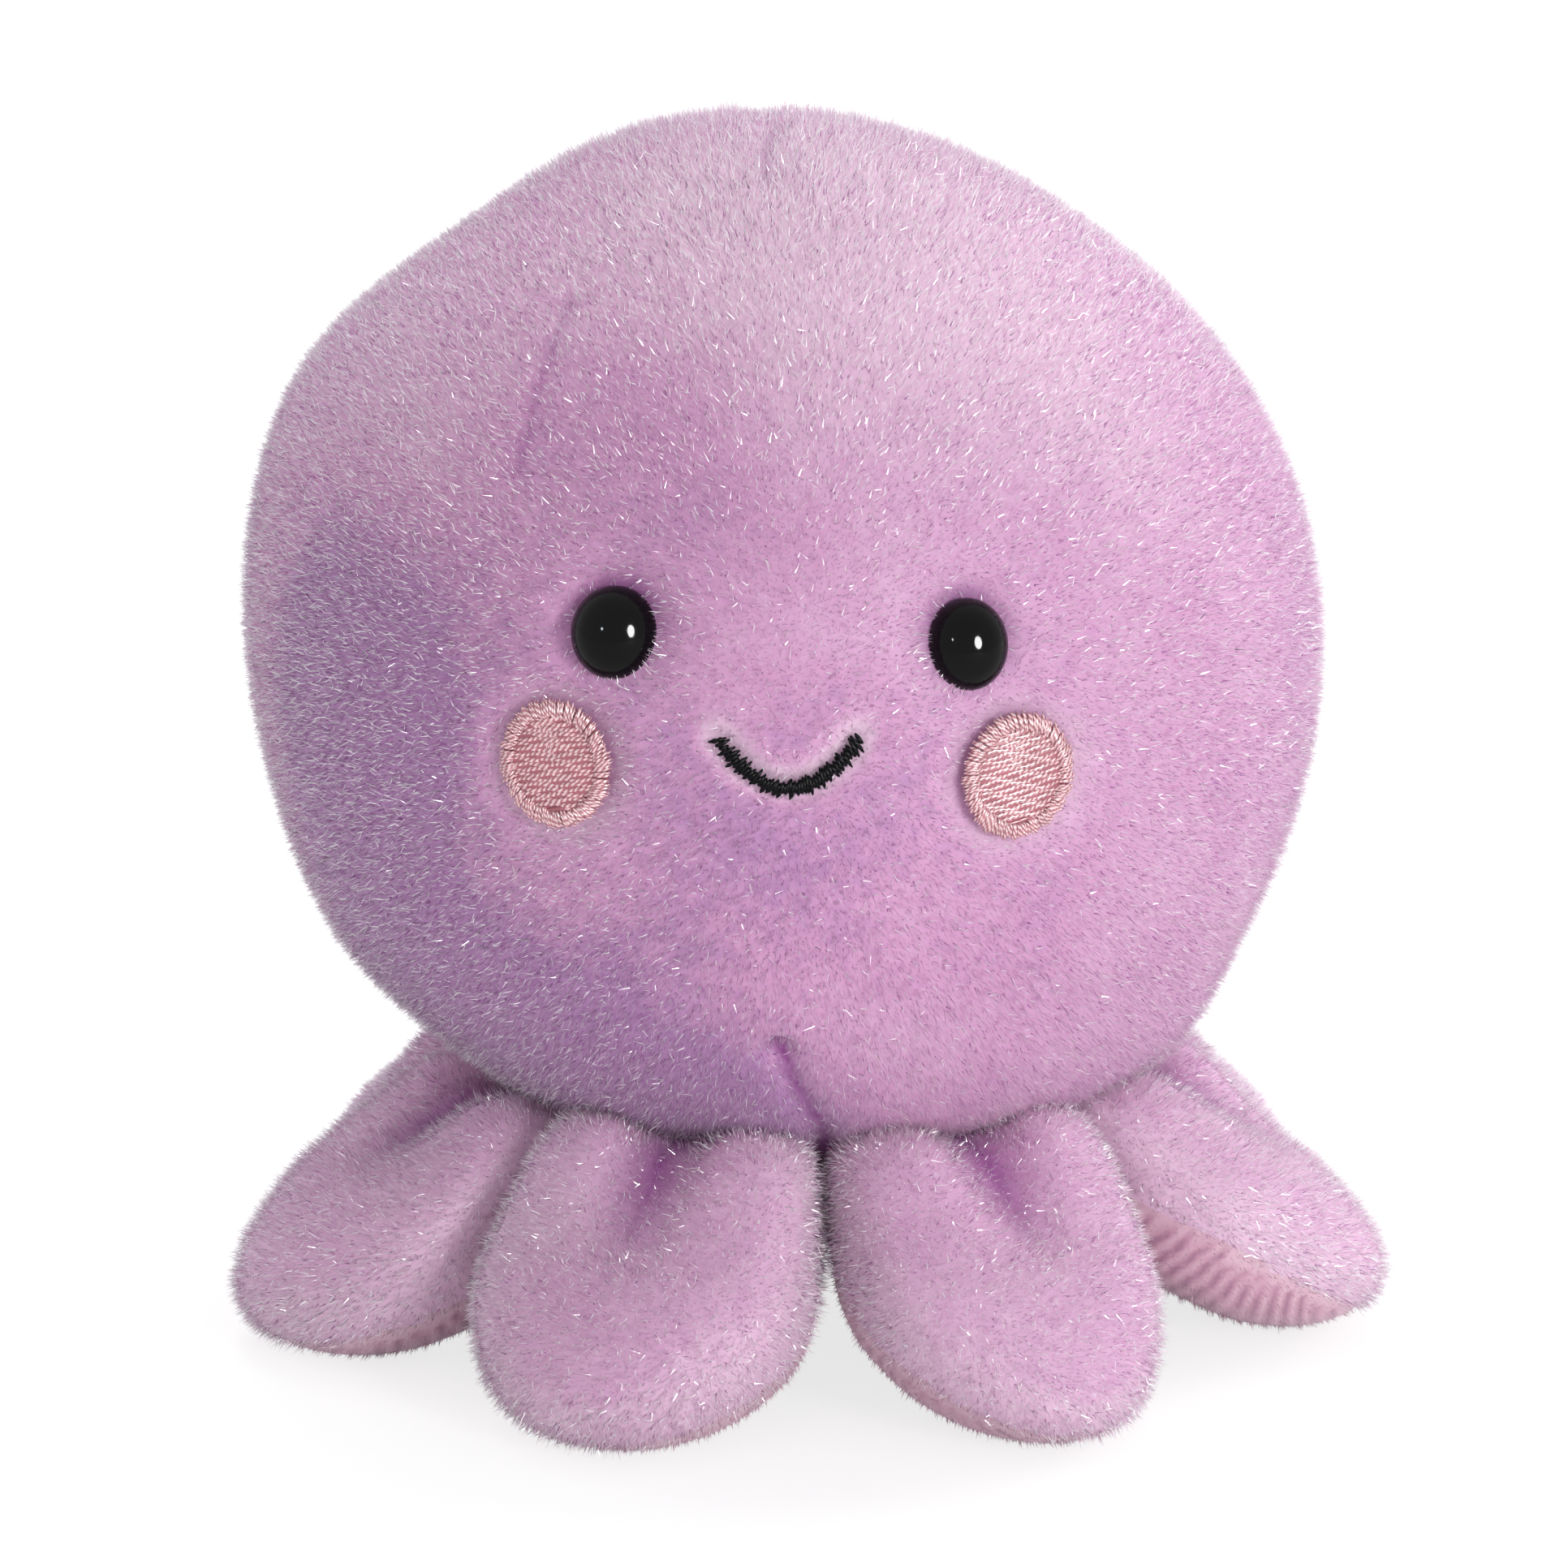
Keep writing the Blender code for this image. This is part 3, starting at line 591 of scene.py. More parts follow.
class Relief:
    """What lies over a cover: its sink, its painted shade in creases and dents, the pile's reach, and bare places."""

    def __init__(self, count: int) -> None:
        """Start from an even cover."""
        self.sink, self.crease, self.bare = np.zeros((3, count))
        self.reach = np.ones(count)

    def press(self, dent: Dent, gap: Array, fall: Callable[[Array], Array]) -> None:
        """Press a dent into the cover, which falls off with the gap from it."""
        self.sink += dent.sink * fall(gap / dent.sink_width)
        self.crease = np.maximum(self.crease, dent.tone * fall(gap / dent.shade_width))
        self.reach *= 1.0 - dent.cut * fall(gap / dent.cut_width)

    def clear(self, held: Array) -> None:
        """Leave places bare of pile."""
        self.bare = np.maximum(self.bare, held)


@dataclass
class Head:
    """The ball of the head: its cover at the backing's level, and the pile on it."""

    radius: float = 0.0516
    neck_radius: float = 0.0309
    neck_height: float = 0.0242
    lean: float = -0.0025
    lean_rise_share: float = 0.4
    pile_root: float = 0.0003
    pile_below_neck: float = 0.0012
    sectors: int = 6
    subdivisions: int = 7
    # Lumps: azimuth, elevation and spread in degrees, and swell as a share of the radius
    lumps: tuple = ((-98.0, 27.0, 20.0, 0.042), (111.0, 52.0, 25.0, -0.034), (74.0, -43.0, 18.0, 0.022),
                    (-109.0, 49.0, 15.0, -0.030), (145.0, 74.0, 22.0, -0.012), (-85.0, -15.0, 14.0, -0.012))
    eyes_deg: tuple = ((-18.5, 15.1), (19.7, 13.8))
    eye_radius: float = 0.0045
    # Shares of the eyes' width and height that show out of the pile
    eye_shares: tuple = ((0.89, 0.95), (0.83, 0.94))
    lash_reach: float = 0.0018
    lash_strength: float = 3.2
    cheeks_deg: tuple = ((-23.9, 1.2), (24.3, -0.1))
    cheek_half_width: float = 0.0055
    cheek_half_height: float = 0.0059
    # The cheek's dent paints shade in a thin ring round the patch's edge
    cheek_dent: Dent = Dent(0.0008, 0.30, 0.50, 0.0036, 0.0007, 0.0018)
    mouth_deg: tuple = ((-6.8, 4.9), (7.5, 4.9))
    mouth_low_deg: float = 0.0
    mouth_dent: Dent = Dent(0.0007, 0.0, 0.40, sink_width=0.0026, cut_width=0.0018)
    # Creases of the forehead, crown and chin: points of the path in degrees, and the dent, whose tone is painted shade
    # along the crease
    creases: tuple = (
        (((-36.5, 50.1), (-34.2, 38.0), (-33.1, 29.6)), Dent(0.0002, 0.50, 0.30)),
        (((-13.6, 87.2), (-9.0, 79.0), (-6.0, 70.8)), Dent(0.0002, 0.40, 0.20)),
        (((-0.8, -32.5), (0.2, -41.0), (2.4, -49.9), (2.4, -54.0)), Dent(0.0010, 1.00, 0.60)))
    dimple_deg: tuple = (-0.8, -32.5)
    # The chin's dimple, with painted shade in its pit
    dimple: Dent = Dent(0.0012, 1.00, 0.70, 0.0013, 0.00100, 0.0011)
    # The seams, with painted shade along them
    seam: Dent = Dent(0.0006, 0.40, 0.0, shade_width=0.0004)
    side_seam_depth: float = 0.0040
    back_seam_start: float = 0.08
    # Clouds of tone, listed one by one: azimuth, elevation and spread in degrees, tone from dark (-1) to pale (1).
    # They hold the dye's own mottle and painted light and shade: dark on the left as the face is seen and below it,
    # pale on the top
    clouds: tuple = (
        (28.0, 58.0, 26.0, 1.00), (-20.0, 62.0, 20.0, 0.60), (-62.0, 40.0, 20.0, 0.25), (-52.0, 2.0, 18.0, -1.40),
        (-46.0, -32.0, 19.0, -1.35), (-14.0, 36.0, 12.0, -0.25), (6.0, 34.0, 13.0, 0.10), (56.0, 4.0, 22.0, 0.10),
        (40.0, -30.0, 18.0, 0.25), (-10.0, -46.0, 15.0, -0.75), (48.0, 30.0, 15.0, 0.30),
        (-27.0, -9.0, 10.0, 0.15), (-75.0, -10.0, 16.0, 0.05), (140.0, 30.0, 26.0, 0.45),
        (-140.0, -10.0, 26.0, -0.45), (170.0, 60.0, 22.0, 0.30), (0.0, 0.0, 11.0, -0.30),
        (-26.0, -38.0, 13.0, -0.75))

    def __post_init__(self) -> None:
        """Work out the head's height over its neck."""
        self.drop = math.sqrt(self.radius ** 2 - self.neck_radius ** 2)
        self.height = self.neck_height + self.drop

    def leaning(self, heights: Array) -> Array:
        """How far the head leans sideways at given heights."""
        return self.lean * smooth((heights - self.neck_height) / (self.drop * self.lean_rise_share))

    def surface(self, ways: Array, inset: Number = 0.0) -> Array:
        """Points of the head's outer surface along headings, inset into the head."""
        points = ways * (self.radius * hills(ways, self.lumps, 1.0) - inset)[:, None]
        points[:, 2] += self.height
        points[:, 0] += self.leaning(points[:, 2])
        return points

    def ways_of(self, points: Array) -> Array:
        """Headings from the head's middle to points near its surface."""
        lean = self.leaning(points[:, 2])
        return unit(points - np.stack([lean, 0.0 * lean, self.height + 0.0 * lean], axis=1))

    def frame_at(self, azimuth_deg: float, elevation_deg: float) -> Matrix:
        """Frame on the head's surface: Z outwards, Y up the face, X across it."""
        way = heading(azimuth_deg, elevation_deg)
        outward = Vector(way)
        across = Vector(UP).cross(outward).normalized()
        matrix = Matrix((across, outward.cross(across), outward)).transposed().to_4x4()
        matrix.translation = Vector(self.surface(way[None])[0])
        return matrix

    def arc(self, degrees: Array) -> Array:
        """Length over the surface of an angle from the head's middle."""
        return np.radians(degrees) * self.radius

    def offsets(self, ways: Array, place: tuple[float, float]) -> tuple[Array, Array]:
        """How far across and up the face headings lie from a place on it."""
        across, upward, outward = (np.array(axis[:3]) for axis in self.frame_at(*place).col[:3])
        far = np.where(ways @ outward > 0.0, 0.0, FAR)
        return self.radius * (ways @ across) + far, self.radius * (ways @ upward) + far

    def mouth_path(self, count: int = 60) -> Array:
        """Headings along the smile."""
        share = np.linspace(0.0, 1.0, count)
        (left, high), (right, _) = self.mouth_deg
        rise = (2.0 * share - 1.0) ** 2
        return heading(left + (right - left) * share, self.mouth_low_deg + (high - self.mouth_low_deg) * rise)

    def relief(self, ways: Array) -> Relief:
        """What the face's pieces, the creases and the seams do to the cover along headings, with the shade they paint
        on it.
        """
        marks = Relief(len(ways))
        for place, (wide, high) in zip(self.eyes_deg, self.eye_shares):
            across, upward = self.offsets(ways, place)
            span = np.hypot(across / wide, upward / high)
            gap = span - self.eye_radius
            above = 0.5 + 0.5 * upward / np.maximum(span, 1e-6)
            # Painted shade above each eye, in the dimple over its dome
            marks.press(Dent(sink=0.0004 + 0.0009 * above, tone=0.80 * above, cut=0.65 * above - 0.25,
                             sink_width=0.0048, shade_width=0.0022, cut_width=0.0020), gap, fade)
            marks.clear(gap < -0.0003)
        for place in self.cheeks_deg:
            across, upward = self.offsets(ways, place)
            ring = np.hypot(across / self.cheek_half_width, upward / self.cheek_half_height)
            gap = (ring - 1.0) * self.cheek_half_height
            marks.press(self.cheek_dent, gap, fade)
            marks.clear(gap < -0.0001)
        gap = self.arc(angles_to(ways, self.mouth_path()))
        marks.press(self.mouth_dent, gap, fade)
        marks.clear(gap < 0.0005)
        for path, dent in self.creases:
            marks.press(dent, self.arc(angles_to(ways, along_path(path))), bell)
        marks.press(self.dimple, self.arc(angles_to(ways, heading(*self.dimple_deg))), bell)
        behind = ways[:, 1] > self.back_seam_start
        for gap in (self.radius * ways[:, 1] - self.side_seam_depth,
                    np.where(behind, self.radius * ways[:, 0] - self.lean, FAR)):
            marks.press(self.seam, gap, bell)
        self.grade(marks, ways)
        return marks

    def grade(self, marks: Relief, ways: Array) -> None:
        """Let the pile grow longer on the crown, and shorter down at the neck, with painted shade along it."""
        crown_growth, crown_start, crown_span = 0.30, 0.80, 0.18
        neck_cut, cut_start, cut_span = 0.30, -0.0005, 0.0030
        # Painted shade along the neck: how dark, where it starts and over what it fades
        neck_shade, shade_start, shade_span = 0.75, -0.0004, 0.0014
        over_neck = self.radius * ways[:, 2] + self.height - self.neck_height
        marks.reach *= 1.0 + crown_growth * smooth((ways[:, 2] - crown_start) / crown_span)
        marks.reach *= 1.0 - neck_cut + neck_cut * smooth((over_neck - cut_start) / cut_span)
        marks.crease = np.maximum(marks.crease, neck_shade * fade((over_neck - shade_start) / shade_span))

    def blush(self, ways: Array) -> Array:
        """Tone of the dye over the head, from dark to pale: its cloudy patches, partly the dye's own mottle and partly
        painted light and shade, and pale pile at the lips and cheeks.
        """
        lip_tone, smile_tone, lip_width = 0.10, 2.0, 0.0019
        smile_high_deg, smile_round_deg, smile_edge_deg = 8.0, 11.0, 3.0
        cheek_tone, cheek_ring, cheek_width = 0.5, 0.0062, 0.0016
        tone = hills(ways, self.clouds)
        lip = self.arc(angles_to(ways, self.mouth_path()))
        middle = heading(sum(end[0] for end in self.mouth_deg) / 2.0, smile_high_deg)
        inside = smooth((smile_round_deg - angles_to(ways, middle)) / smile_edge_deg)
        tone += (lip_tone + smile_tone * inside) * bell(lip / lip_width)
        for place in self.cheeks_deg:
            gap = self.arc(angles_to(ways, heading(*place))) - cheek_ring
            tone += cheek_tone * bell(gap / cheek_width)
        return tone

    def nap(self, ways: Array, normals: Array) -> Array:
        """Directions of the nap: sideways from the face's middle, rising above the mouth, and down the back."""
        parting, rise_start, rise_span, back_start, back_span = 0.22, -0.10, 0.80, -0.05, 0.5
        sideways = np.tanh(ways[:, 0] / parting)
        upward = 0.9 * smooth((ways[:, 2] - rise_start) / rise_span)
        face = np.stack([0.8 * sideways, 0.3 * upward, upward], axis=1)
        back = smooth((ways[:, 1] - back_start) / back_span)[:, None]
        wanted = face * (1.0 - back) - UP * back
        for place in self.eyes_deg:
            aim = heading(*place)
            gap = self.arc(angles_to(ways, aim)) - self.eye_radius
            lash = fade(gap / self.lash_reach)[:, None]
            wanted = wanted * (1.0 - lash) + unit(aim - ways) * self.lash_strength * lash
        flat = wanted - normals * dots(wanted, normals)[:, None]
        size = np.linalg.norm(flat, axis=1, keepdims=True)
        return flat / np.maximum(size / self.lash_strength, 1.0) + 1e-5 * np.cross(normals, UP)

    def shine(self, ways: Array) -> Array:
        """Share of the white glinting strands that is kept: more towards the top and the toy's right."""
        lit = np.maximum(0.15 - 1.2 * ways[:, 0], ways[:, 2] - 0.1)
        return np.clip(0.35 + 0.65 * lit, 0.25, 1.0)

    def build_cover(self, finish: Material) -> Object:
        """Make the cover, marked for its material."""
        shape = bmesh.new()
        bmesh.ops.create_icosphere(shape, subdivisions=self.subdivisions, radius=1.0)
        mesh = to_mesh("head_cover", shape)
        ways = unit(read_rows(mesh.vertices, "co"))
        marks = self.relief(ways)
        move_points(mesh, self.surface(ways, self.pile_root + marks.sink))
        mark_cover(mesh, self.blush(ways), marks.crease)
        return add_object("head_cover", mesh, [finish])

    def grow(self, mesh: Mesh, plushes: Plushes) -> list[Object]:
        """Grow the pile on the cover, in sectors, and the white glinting strands, painted highlights, between its
        strands.
        """
        rng = np.random.default_rng(11)
        pieces = []
        for pile, sectors in ((plushes.long, self.sectors), (plushes.glints, 1)):
            sparse = pile is plushes.glints
            ground = scatter(mesh, pile.density, rng)
            ways = self.ways_of(ground.roots)
            ground.values = {**vars(self.relief(ways)), "blush": self.blush(ways)}
            sector = np.floor((np.arctan2(ways[:, 0], -ways[:, 1]) / math.tau + 0.5) * sectors).astype(int)
            held = (ground.values["bare"] < 0.5) & (ground.roots[:, 2] > self.neck_height - self.pile_below_neck)
            if sparse:
                held &= rng.uniform(0.0, 1.0, len(held)) < self.shine(ways)
            nap = self.nap(ways, ground.normals)
            for number in range(sectors):
                chosen = held & (sector == number)
                name = "head_painted_glints" if sparse else f"head_pile_{number + 1}"
                pieces.append(pile.grow(name, ground.keep(chosen), nap[chosen], rng))
        return pieces

    def dress(self, plushes: Plushes) -> None:
        """Build the head, and fix it to the toy's root."""
        cover = self.build_cover(plushes.long.finish)
        fix(cover, Slot.LILAC, "head_front_panel", "head_back_left_panel", "head_back_right_panel", "head_filling")
        for piece in self.grow(cover.data, plushes):
            fix(piece, Slot.LILAC)


# Tentacles
@dataclass
class Tentacle:
    """One tentacle: a stuffed mitt of an upper and an under panel, pleated at its root."""

    number: int
    head: Head
    azimuths_deg: tuple = (-23.0, 26.5, 75.0, 117.5, 159.5, 201.5, 243.5, 290.5)
    rolls_deg: tuple = (0.0, 8.0, 13.0, 0.0, 0.0, 0.0, 0.0, 0.0)
    seam_tilts_deg: tuple = (0.0, 2.0, 6.0, 0.0, 0.0, 0.0, 0.0, 0.0)
    length: float = 0.0570
    length_shares: tuple = (1.0, 1.0, 1.010, 0.92, 0.986, 0.986, 0.92, 1.032)
    thickness: float = 0.0180
    thickness_shares: tuple = (1.0, 0.97, 0.97, 0.92, 1.0, 1.0, 0.92, 1.0)
    half_width: float = 0.0168
    width_shares: tuple = (1.0, 0.90, 0.94, 0.94, 0.97, 0.97, 0.94, 0.97)
    growth_shares: tuple = ((0.0, 0.74), (0.2, 1.0), (0.45, 1.02), (0.6, 1.0), (1.0, 1.0))
    root_radius: float = 0.0290
    root_extra_share: float = 0.14
    neck_lifts: tuple = (0.0024, 0.0024, 0.0016, 0.0016, 0.0016, 0.0016, 0.0016, 0.0004)
    side_gap: float = 0.0002
    foot_cut: float = 0.0005
    hinge_drop: float = 0.0003
    bend_length: float = 0.0075
    # The middle line's guides along the tentacle, the second one's height, and the tip's share of the thickness
    guide_shares: tuple = (0.0, 0.30, 0.50, 1.0)
    guide_lift: float = 1.05
    tip_height_share: float = 0.46
    # How square the section is at the root, and how much of that it loses to the tip
    squareness: float = 4.0
    squareness_loss: float = 1.9
    # Where the width and the height start to round off
    round_starts: tuple = (0.45, 0.60)
    crowding: float = 10.0
    # Depth and spread in degrees of the centre pleat, in the CAD's cover and in this one
    cad_pleat: tuple = (0.0026, 16.0)
    pleat: tuple = (0.0032, 7.5)
    pleat_length_share: float = 0.70
    seam_root_shares: tuple = (0.12, 0.06, 0.22, 0.28, 0.28, 0.28, 0.28, 0.10)
    seam_tip_heights: tuple = (0.0006, 0.0014, 0.0015, 0.0024, 0.0024, 0.0024, 0.0024, 0.0006)
    rib_pitch: float = 0.0014
    # Where the ribs start under the seam, and where the sole's and the upper panel's pile end at it
    rib_start: float = -0.0012
    sole_end: float = 0.0003
    upper_end: float = -0.0002

    def __post_init__(self) -> None:
        """Read this tentacle's own sizes, and set its foot on the ground."""
        index = self.number - 1
        azimuths = self.azimuths_deg
        before = (azimuths[index] - azimuths[index - 1]) % 360.0
        after = (azimuths[(index + 1) % 8] - azimuths[index]) % 360.0
        self.room = (math.tan(math.radians(before) / 2.0), math.tan(math.radians(after) / 2.0))
        self.length = self.length * self.length_shares[index]
        self.thickness = self.thickness * self.thickness_shares[index]
        self.half_width = self.half_width * self.width_shares[index]
        self.roll = math.radians(self.rolls_deg[index])
        self.seam_tilt = self.roll + math.radians(self.seam_tilts_deg[index])
        self.angle = math.radians(azimuths[index])
        self.outward = np.array((math.sin(self.angle), -math.cos(self.angle), -0.25))
        self.hinge_height = self.head.neck_height - self.hinge_drop
        turns = np.radians(np.arange(0.0, 181.0, 6.0))
        self.shoulder = self.raw_points(np.zeros(len(turns)), turns, 0.0)[:, 2].max()
        steps, low = np.meshgrid(np.arange(12, 31) / 30.0, -turns)
        self.foot = self.raw_points(steps.ravel(), low.ravel(), 0.0)[:, 2].min()

    def middle_line(self, along: Array) -> tuple[Array, Array]:
        """Points and directions of the middle line, from root (0) to tip (1)."""
        root = self.hinge_height - self.thickness * self.growth_shares[0][1] / 2.0
        tip = self.thickness * self.tip_height_share
        span = self.length - self.root_radius
        heights = (root, root * self.guide_lift, tip, tip)
        guides = [np.array((self.root_radius + span * share, 0.0, height))
                  for share, height in zip(self.guide_shares, heights)]
        t = along[:, None]
        rest = 1.0 - t
        points = (guides[0] * rest ** 3 + guides[1] * 3.0 * rest ** 2 * t + guides[2] * 3.0 * rest * t ** 2
                  + guides[3] * t ** 3)
        slopes = ((guides[1] - guides[0]) * rest ** 2 + (guides[2] - guides[1]) * 2.0 * rest * t
                  + (guides[3] - guides[2]) * t ** 2)
        return points, unit(slopes)

    def raw_points(self, along: Array, around: Array, inset: float) -> Array:
        """Surface points before the foot is set on the ground.

        Args:
            along: Shares of the length, from the root (0) to the tip (1).
            around: Angles about the middle line, counted from +Y over the top.
            inset: Depth of the cover in the CAD's panel, or 0 for the CAD's surface.

        Returns:
            The points in the tentacle's own frame, X outwards.
        """
        shortening = 1.0 - inset / (self.length - self.root_radius)
        points, forward = self.middle_line(along * shortening)
        upward = np.stack([-forward[:, 2], 0.0 * along, forward[:, 0]], axis=1)
        held = np.clip(along, 0.0, 1.0)
        power = self.squareness - self.squareness_loss * smooth(held)
        room = points[:, 0] * np.where(np.cos(around) > 0.0, self.room[1], self.room[0]) - self.side_gap
        squeeze = ((room / self.half_width) ** -self.crowding + 1.0) ** (-1.0 / self.crowding)
        half_width = (self.half_width * squeeze - inset) * self.round_off(held, self.round_starts[0])
        thickness = self.thickness * np.interp(held, *zip(*self.growth_shares))
        half_height = (thickness / 2.0 - inset) * self.round_off(held, self.round_starts[1])
        from_top = np.degrees(around) - 90.0
        depth, spread = self.pleat if inset else self.cad_pleat
        pleat = depth * bell(from_top / spread) * fade(along / self.pleat_length_share)
        across = half_width * self.squared(np.cos(around), power)
        rise = half_height * self.squared(np.sin(around), power) - pleat
        roll = self.roll * smooth(along / 0.6)
        points = points + upward * (rise * np.cos(roll) - across * np.sin(roll))[:, None]
        points[:, 1] += across * np.cos(roll) + rise * np.sin(roll)
        return points

    @staticmethod
    def round_off(along: Array, start: float) -> Array:
        """Share of the full size where a tentacle rounds off from start to its tip."""
        return np.sqrt(np.maximum(0.0, 1.0 - (np.maximum(0.0, along - start) / (1.0 - start)) ** 2))

    @staticmethod
    def squared(value: Array, power: Array) -> Array:
        """Coordinate of a superellipse for a sine or cosine."""
        return np.copysign(np.abs(value) ** (2.0 / power), value)

    def points(self, along: Array, around: Array, inset: float) -> Array:
        """Cover points in the toy's frame, with lobes that fill out against the head."""
        lift_middle, lift_span = 0.08, 0.5
        points = self.raw_points(along, around, inset)
        outwards = smooth(along / 0.45)
        points[:, 2] += (self.hinge_height - self.shoulder) * (1.0 - outwards) - (self.foot + self.foot_cut) * outwards
        crown = np.maximum(0.0, np.sin(around)) ** 0.5
        points[:, 2] += self.neck_lifts[self.number - 1] * crown * fade(np.abs(along - lift_middle) / lift_span)
        return self.placed(points)

    def placed(self, points: Array) -> Array:
        """Turn points from the tentacle's own frame, X outwards, to the toy's."""
        turn = self.angle - math.pi / 2.0
        cosine, sine = math.cos(turn), math.sin(turn)
        return np.stack([points[..., 0] * cosine - points[..., 1] * sine,
                         points[..., 0] * sine + points[..., 1] * cosine, points[..., 2]], axis=-1)

    def over_seam(self, points: Array) -> Array:
        """How far points lie above the plane in which the upper and the under panel meet."""
        root = self.raw_points(np.zeros(1), np.radians([-90.0]), 0.0)[0]
        root[2] += self.hinge_height - self.shoulder + self.seam_root_shares[self.number - 1] * self.thickness
        tip = np.array((self.length, 0.0, self.seam_tip_heights[self.number - 1]))
        across = np.array((0.0, math.cos(self.seam_tilt), -math.sin(self.seam_tilt)))
        return dots(points - self.placed(root), unit(self.placed(np.cross(tip - root, across))))

    def ribs(self, points: Array) -> tuple[Array, Array]:
        """Ribs of the under panel, from groove (-1) to crest (1), and the painted shade of their grooves."""
        rib = np.sin(math.tau * (points @ self.outward) / self.rib_pitch)
        return rib, -0.28 * rib

    def mark(self, mesh: Mesh, along: Array, around: Array) -> None:
        """Store the dye's tone with its painted light and shade, the painted shade in the pleat and at the neck, and
        the pile's reach and bare places on the cover.
        """
        from_top = np.abs(np.degrees(around) - 90.0)
        pleat = bell(from_top / 3.2) * fade((along - 0.20) / 0.42)
        neck = fade((along + 0.04) / 0.08)
        # The tone paints light towards the sides and near the neck, and shade along the middle of the top by the root;
        # each tentacle differs a little
        tone = 0.50 + 0.10 * math.sin(self.number * 2.4) + 0.45 * smooth((from_top - 45.0) / 45.0)
        tone += 0.50 * fade(along / 0.25) - 0.45 * bell(from_top / 11.0) * fade(along / 0.6)
        # Painted shade in the pleat and at the neck
        crease = np.maximum(0.90 * pleat, 0.30 * neck)
        places = read_rows(mesh.vertices, "co")
        rib, groove_shade = self.ribs(places)
        under = self.over_seam(places) < self.rib_start
        # Under the seam the ribs' crests take painted light and their grooves painted shade
        mark_cover(mesh, np.where(under, rib + 0.20, tone), np.where(under, np.maximum(crease, groove_shade), crease))
        write_mark(mesh, "reach", (1.10 - 0.35 * neck) * (1.0 - 0.35 * pleat))
        write_mark(mesh, "bare", np.where(along < -0.04, 1.0, 0.0))

    def build_cover(self, lilac: Material, pink: Material) -> Object:
        """Make the cover with its two panels, marked for their materials and their pile."""
        shape = bmesh.new()
        bmesh.ops.create_uvsphere(shape, u_segments=80, v_segments=112, radius=1.0)
        bmesh.ops.bisect_plane(shape, geom=[*shape.verts, *shape.edges, *shape.faces], dist=1e-6,
                               plane_co=(0.0, 0.0, 0.0), plane_no=(0.0, 0.0, -1.0), clear_outer=True)
        bmesh.ops.holes_fill(shape, edges=[edge for edge in shape.edges if edge.is_boundary], sides=0)
        name = f"tentacle_cover_{self.number}"
        mesh = to_mesh(name, shape)
        ball = read_rows(mesh.vertices, "co")
        along = np.clip(ball[:, 2], 0.0, 1.0) * (1.0 + self.root_extra_share) - self.root_extra_share
        around = np.arctan2(ball[:, 1], ball[:, 0])
        move_points(mesh, self.points(along, around, self.head.pile_root))
        self.mark(mesh, along, around)
        cover = add_object(name, mesh, [lilac, pink])
        middles = np.array([face.center for face in mesh.polygons])
        mesh.polygons.foreach_set("material_index", (self.over_seam(middles) < 0.0).astype(np.int32))
        return cover

    def grow(self, mesh: Mesh, plushes: Plushes) -> list[Object]:
        """Grow the long pile and the white glinting strands, painted highlights, on the upper panel, and the ribbed
        short pile beneath.
        """
        rng = np.random.default_rng(40 + self.number)
        pieces = []
        for title, pile in (("pile", plushes.long), ("glints", plushes.glints), ("sole", plushes.short)):
            ground = scatter(mesh, pile.density, rng, ("blush", "crease", "reach", "bare"))
            over = self.over_seam(ground.roots)
            held = over > self.upper_end
            if title == "sole":
                rib, groove_shade = self.ribs(ground.roots)
                held = over < self.sole_end
                # Painted light on the ribs' crests, painted shade in their grooves and a painted shadow along the seam
                ground.values.update(blush=rib + 0.20, crease=np.maximum(0.75 * bell(over / 0.0008), groove_shade),
                                     reach=0.85 + 0.25 * rib)
            part = ground.keep(held & (ground.values["bare"] < 0.5))
            flat = self.outward - part.normals * (part.normals @ self.outward)[:, None]
            size = np.maximum(np.linalg.norm(flat, axis=1, keepdims=True), 0.7)
            pieces.append(pile.grow(f"tentacle_{title}_{self.number}", part, flat / size, rng))
        return pieces

    def dress(self, plushes: Plushes) -> None:
        """Build the tentacle in place of its CAD panels and filling, and bake the pieces' placement into their meshes.
        """
        number = self.number
        cover = self.build_cover(plushes.long.finish, plushes.short.finish)
        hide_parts(f"tentacle_top_{number}", f"tentacle_underside_{number}", f"tentacle_filling_{number}")
        pieces = [cover, *self.grow(cover.data, plushes)]
        for piece in pieces:
            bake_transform(piece)


# Belly
@dataclass
class Belly:
    """The dished panel between the tentacles, with its short pile."""

    radius: float = 0.0269
    height: float = 0.0093
    rise: float = 0.0043
    thickness: float = 0.0022
    steps: int = 12
    density_share: float = 0.6

    def dress(self, pile: Pile) -> None:
        """Make the panel from a turned profile, and grow its pile."""
        shares = [index / self.steps for index in range(self.steps + 1)]
        low = [(self.radius * share, self.height + self.rise * share ** 2) for share in shares]
        high = [(radius, height + self.thickness) for radius, height in reversed(low)]
        mesh = to_mesh("belly_cover", turn_profile(low + high))
        ones = np.ones(len(mesh.vertices))
        # Painted shade a fifth of the way to the shade colour all over the belly, under the toy
        mark_cover(mesh, 0.0 * ones, 0.2 * ones)
        write_mark(mesh, "reach", ones)
        cover = add_object("belly_cover", mesh, [pile.finish])
        rng = np.random.default_rng(29)
        ground = scatter(mesh, pile.density * self.density_share, rng, ("blush", "crease", "reach"))
        ground = ground.keep(ground.normals[:, 2] < -0.5)
        nap = np.array((0.0, 1.0, 0.0)) - ground.normals * ground.normals[:, 1:2]
        fix(cover, Slot.PINK, "base_panel", "pellet_bag")
        fix(pile.grow("belly_pile", ground, unit(nap), rng), Slot.PINK)


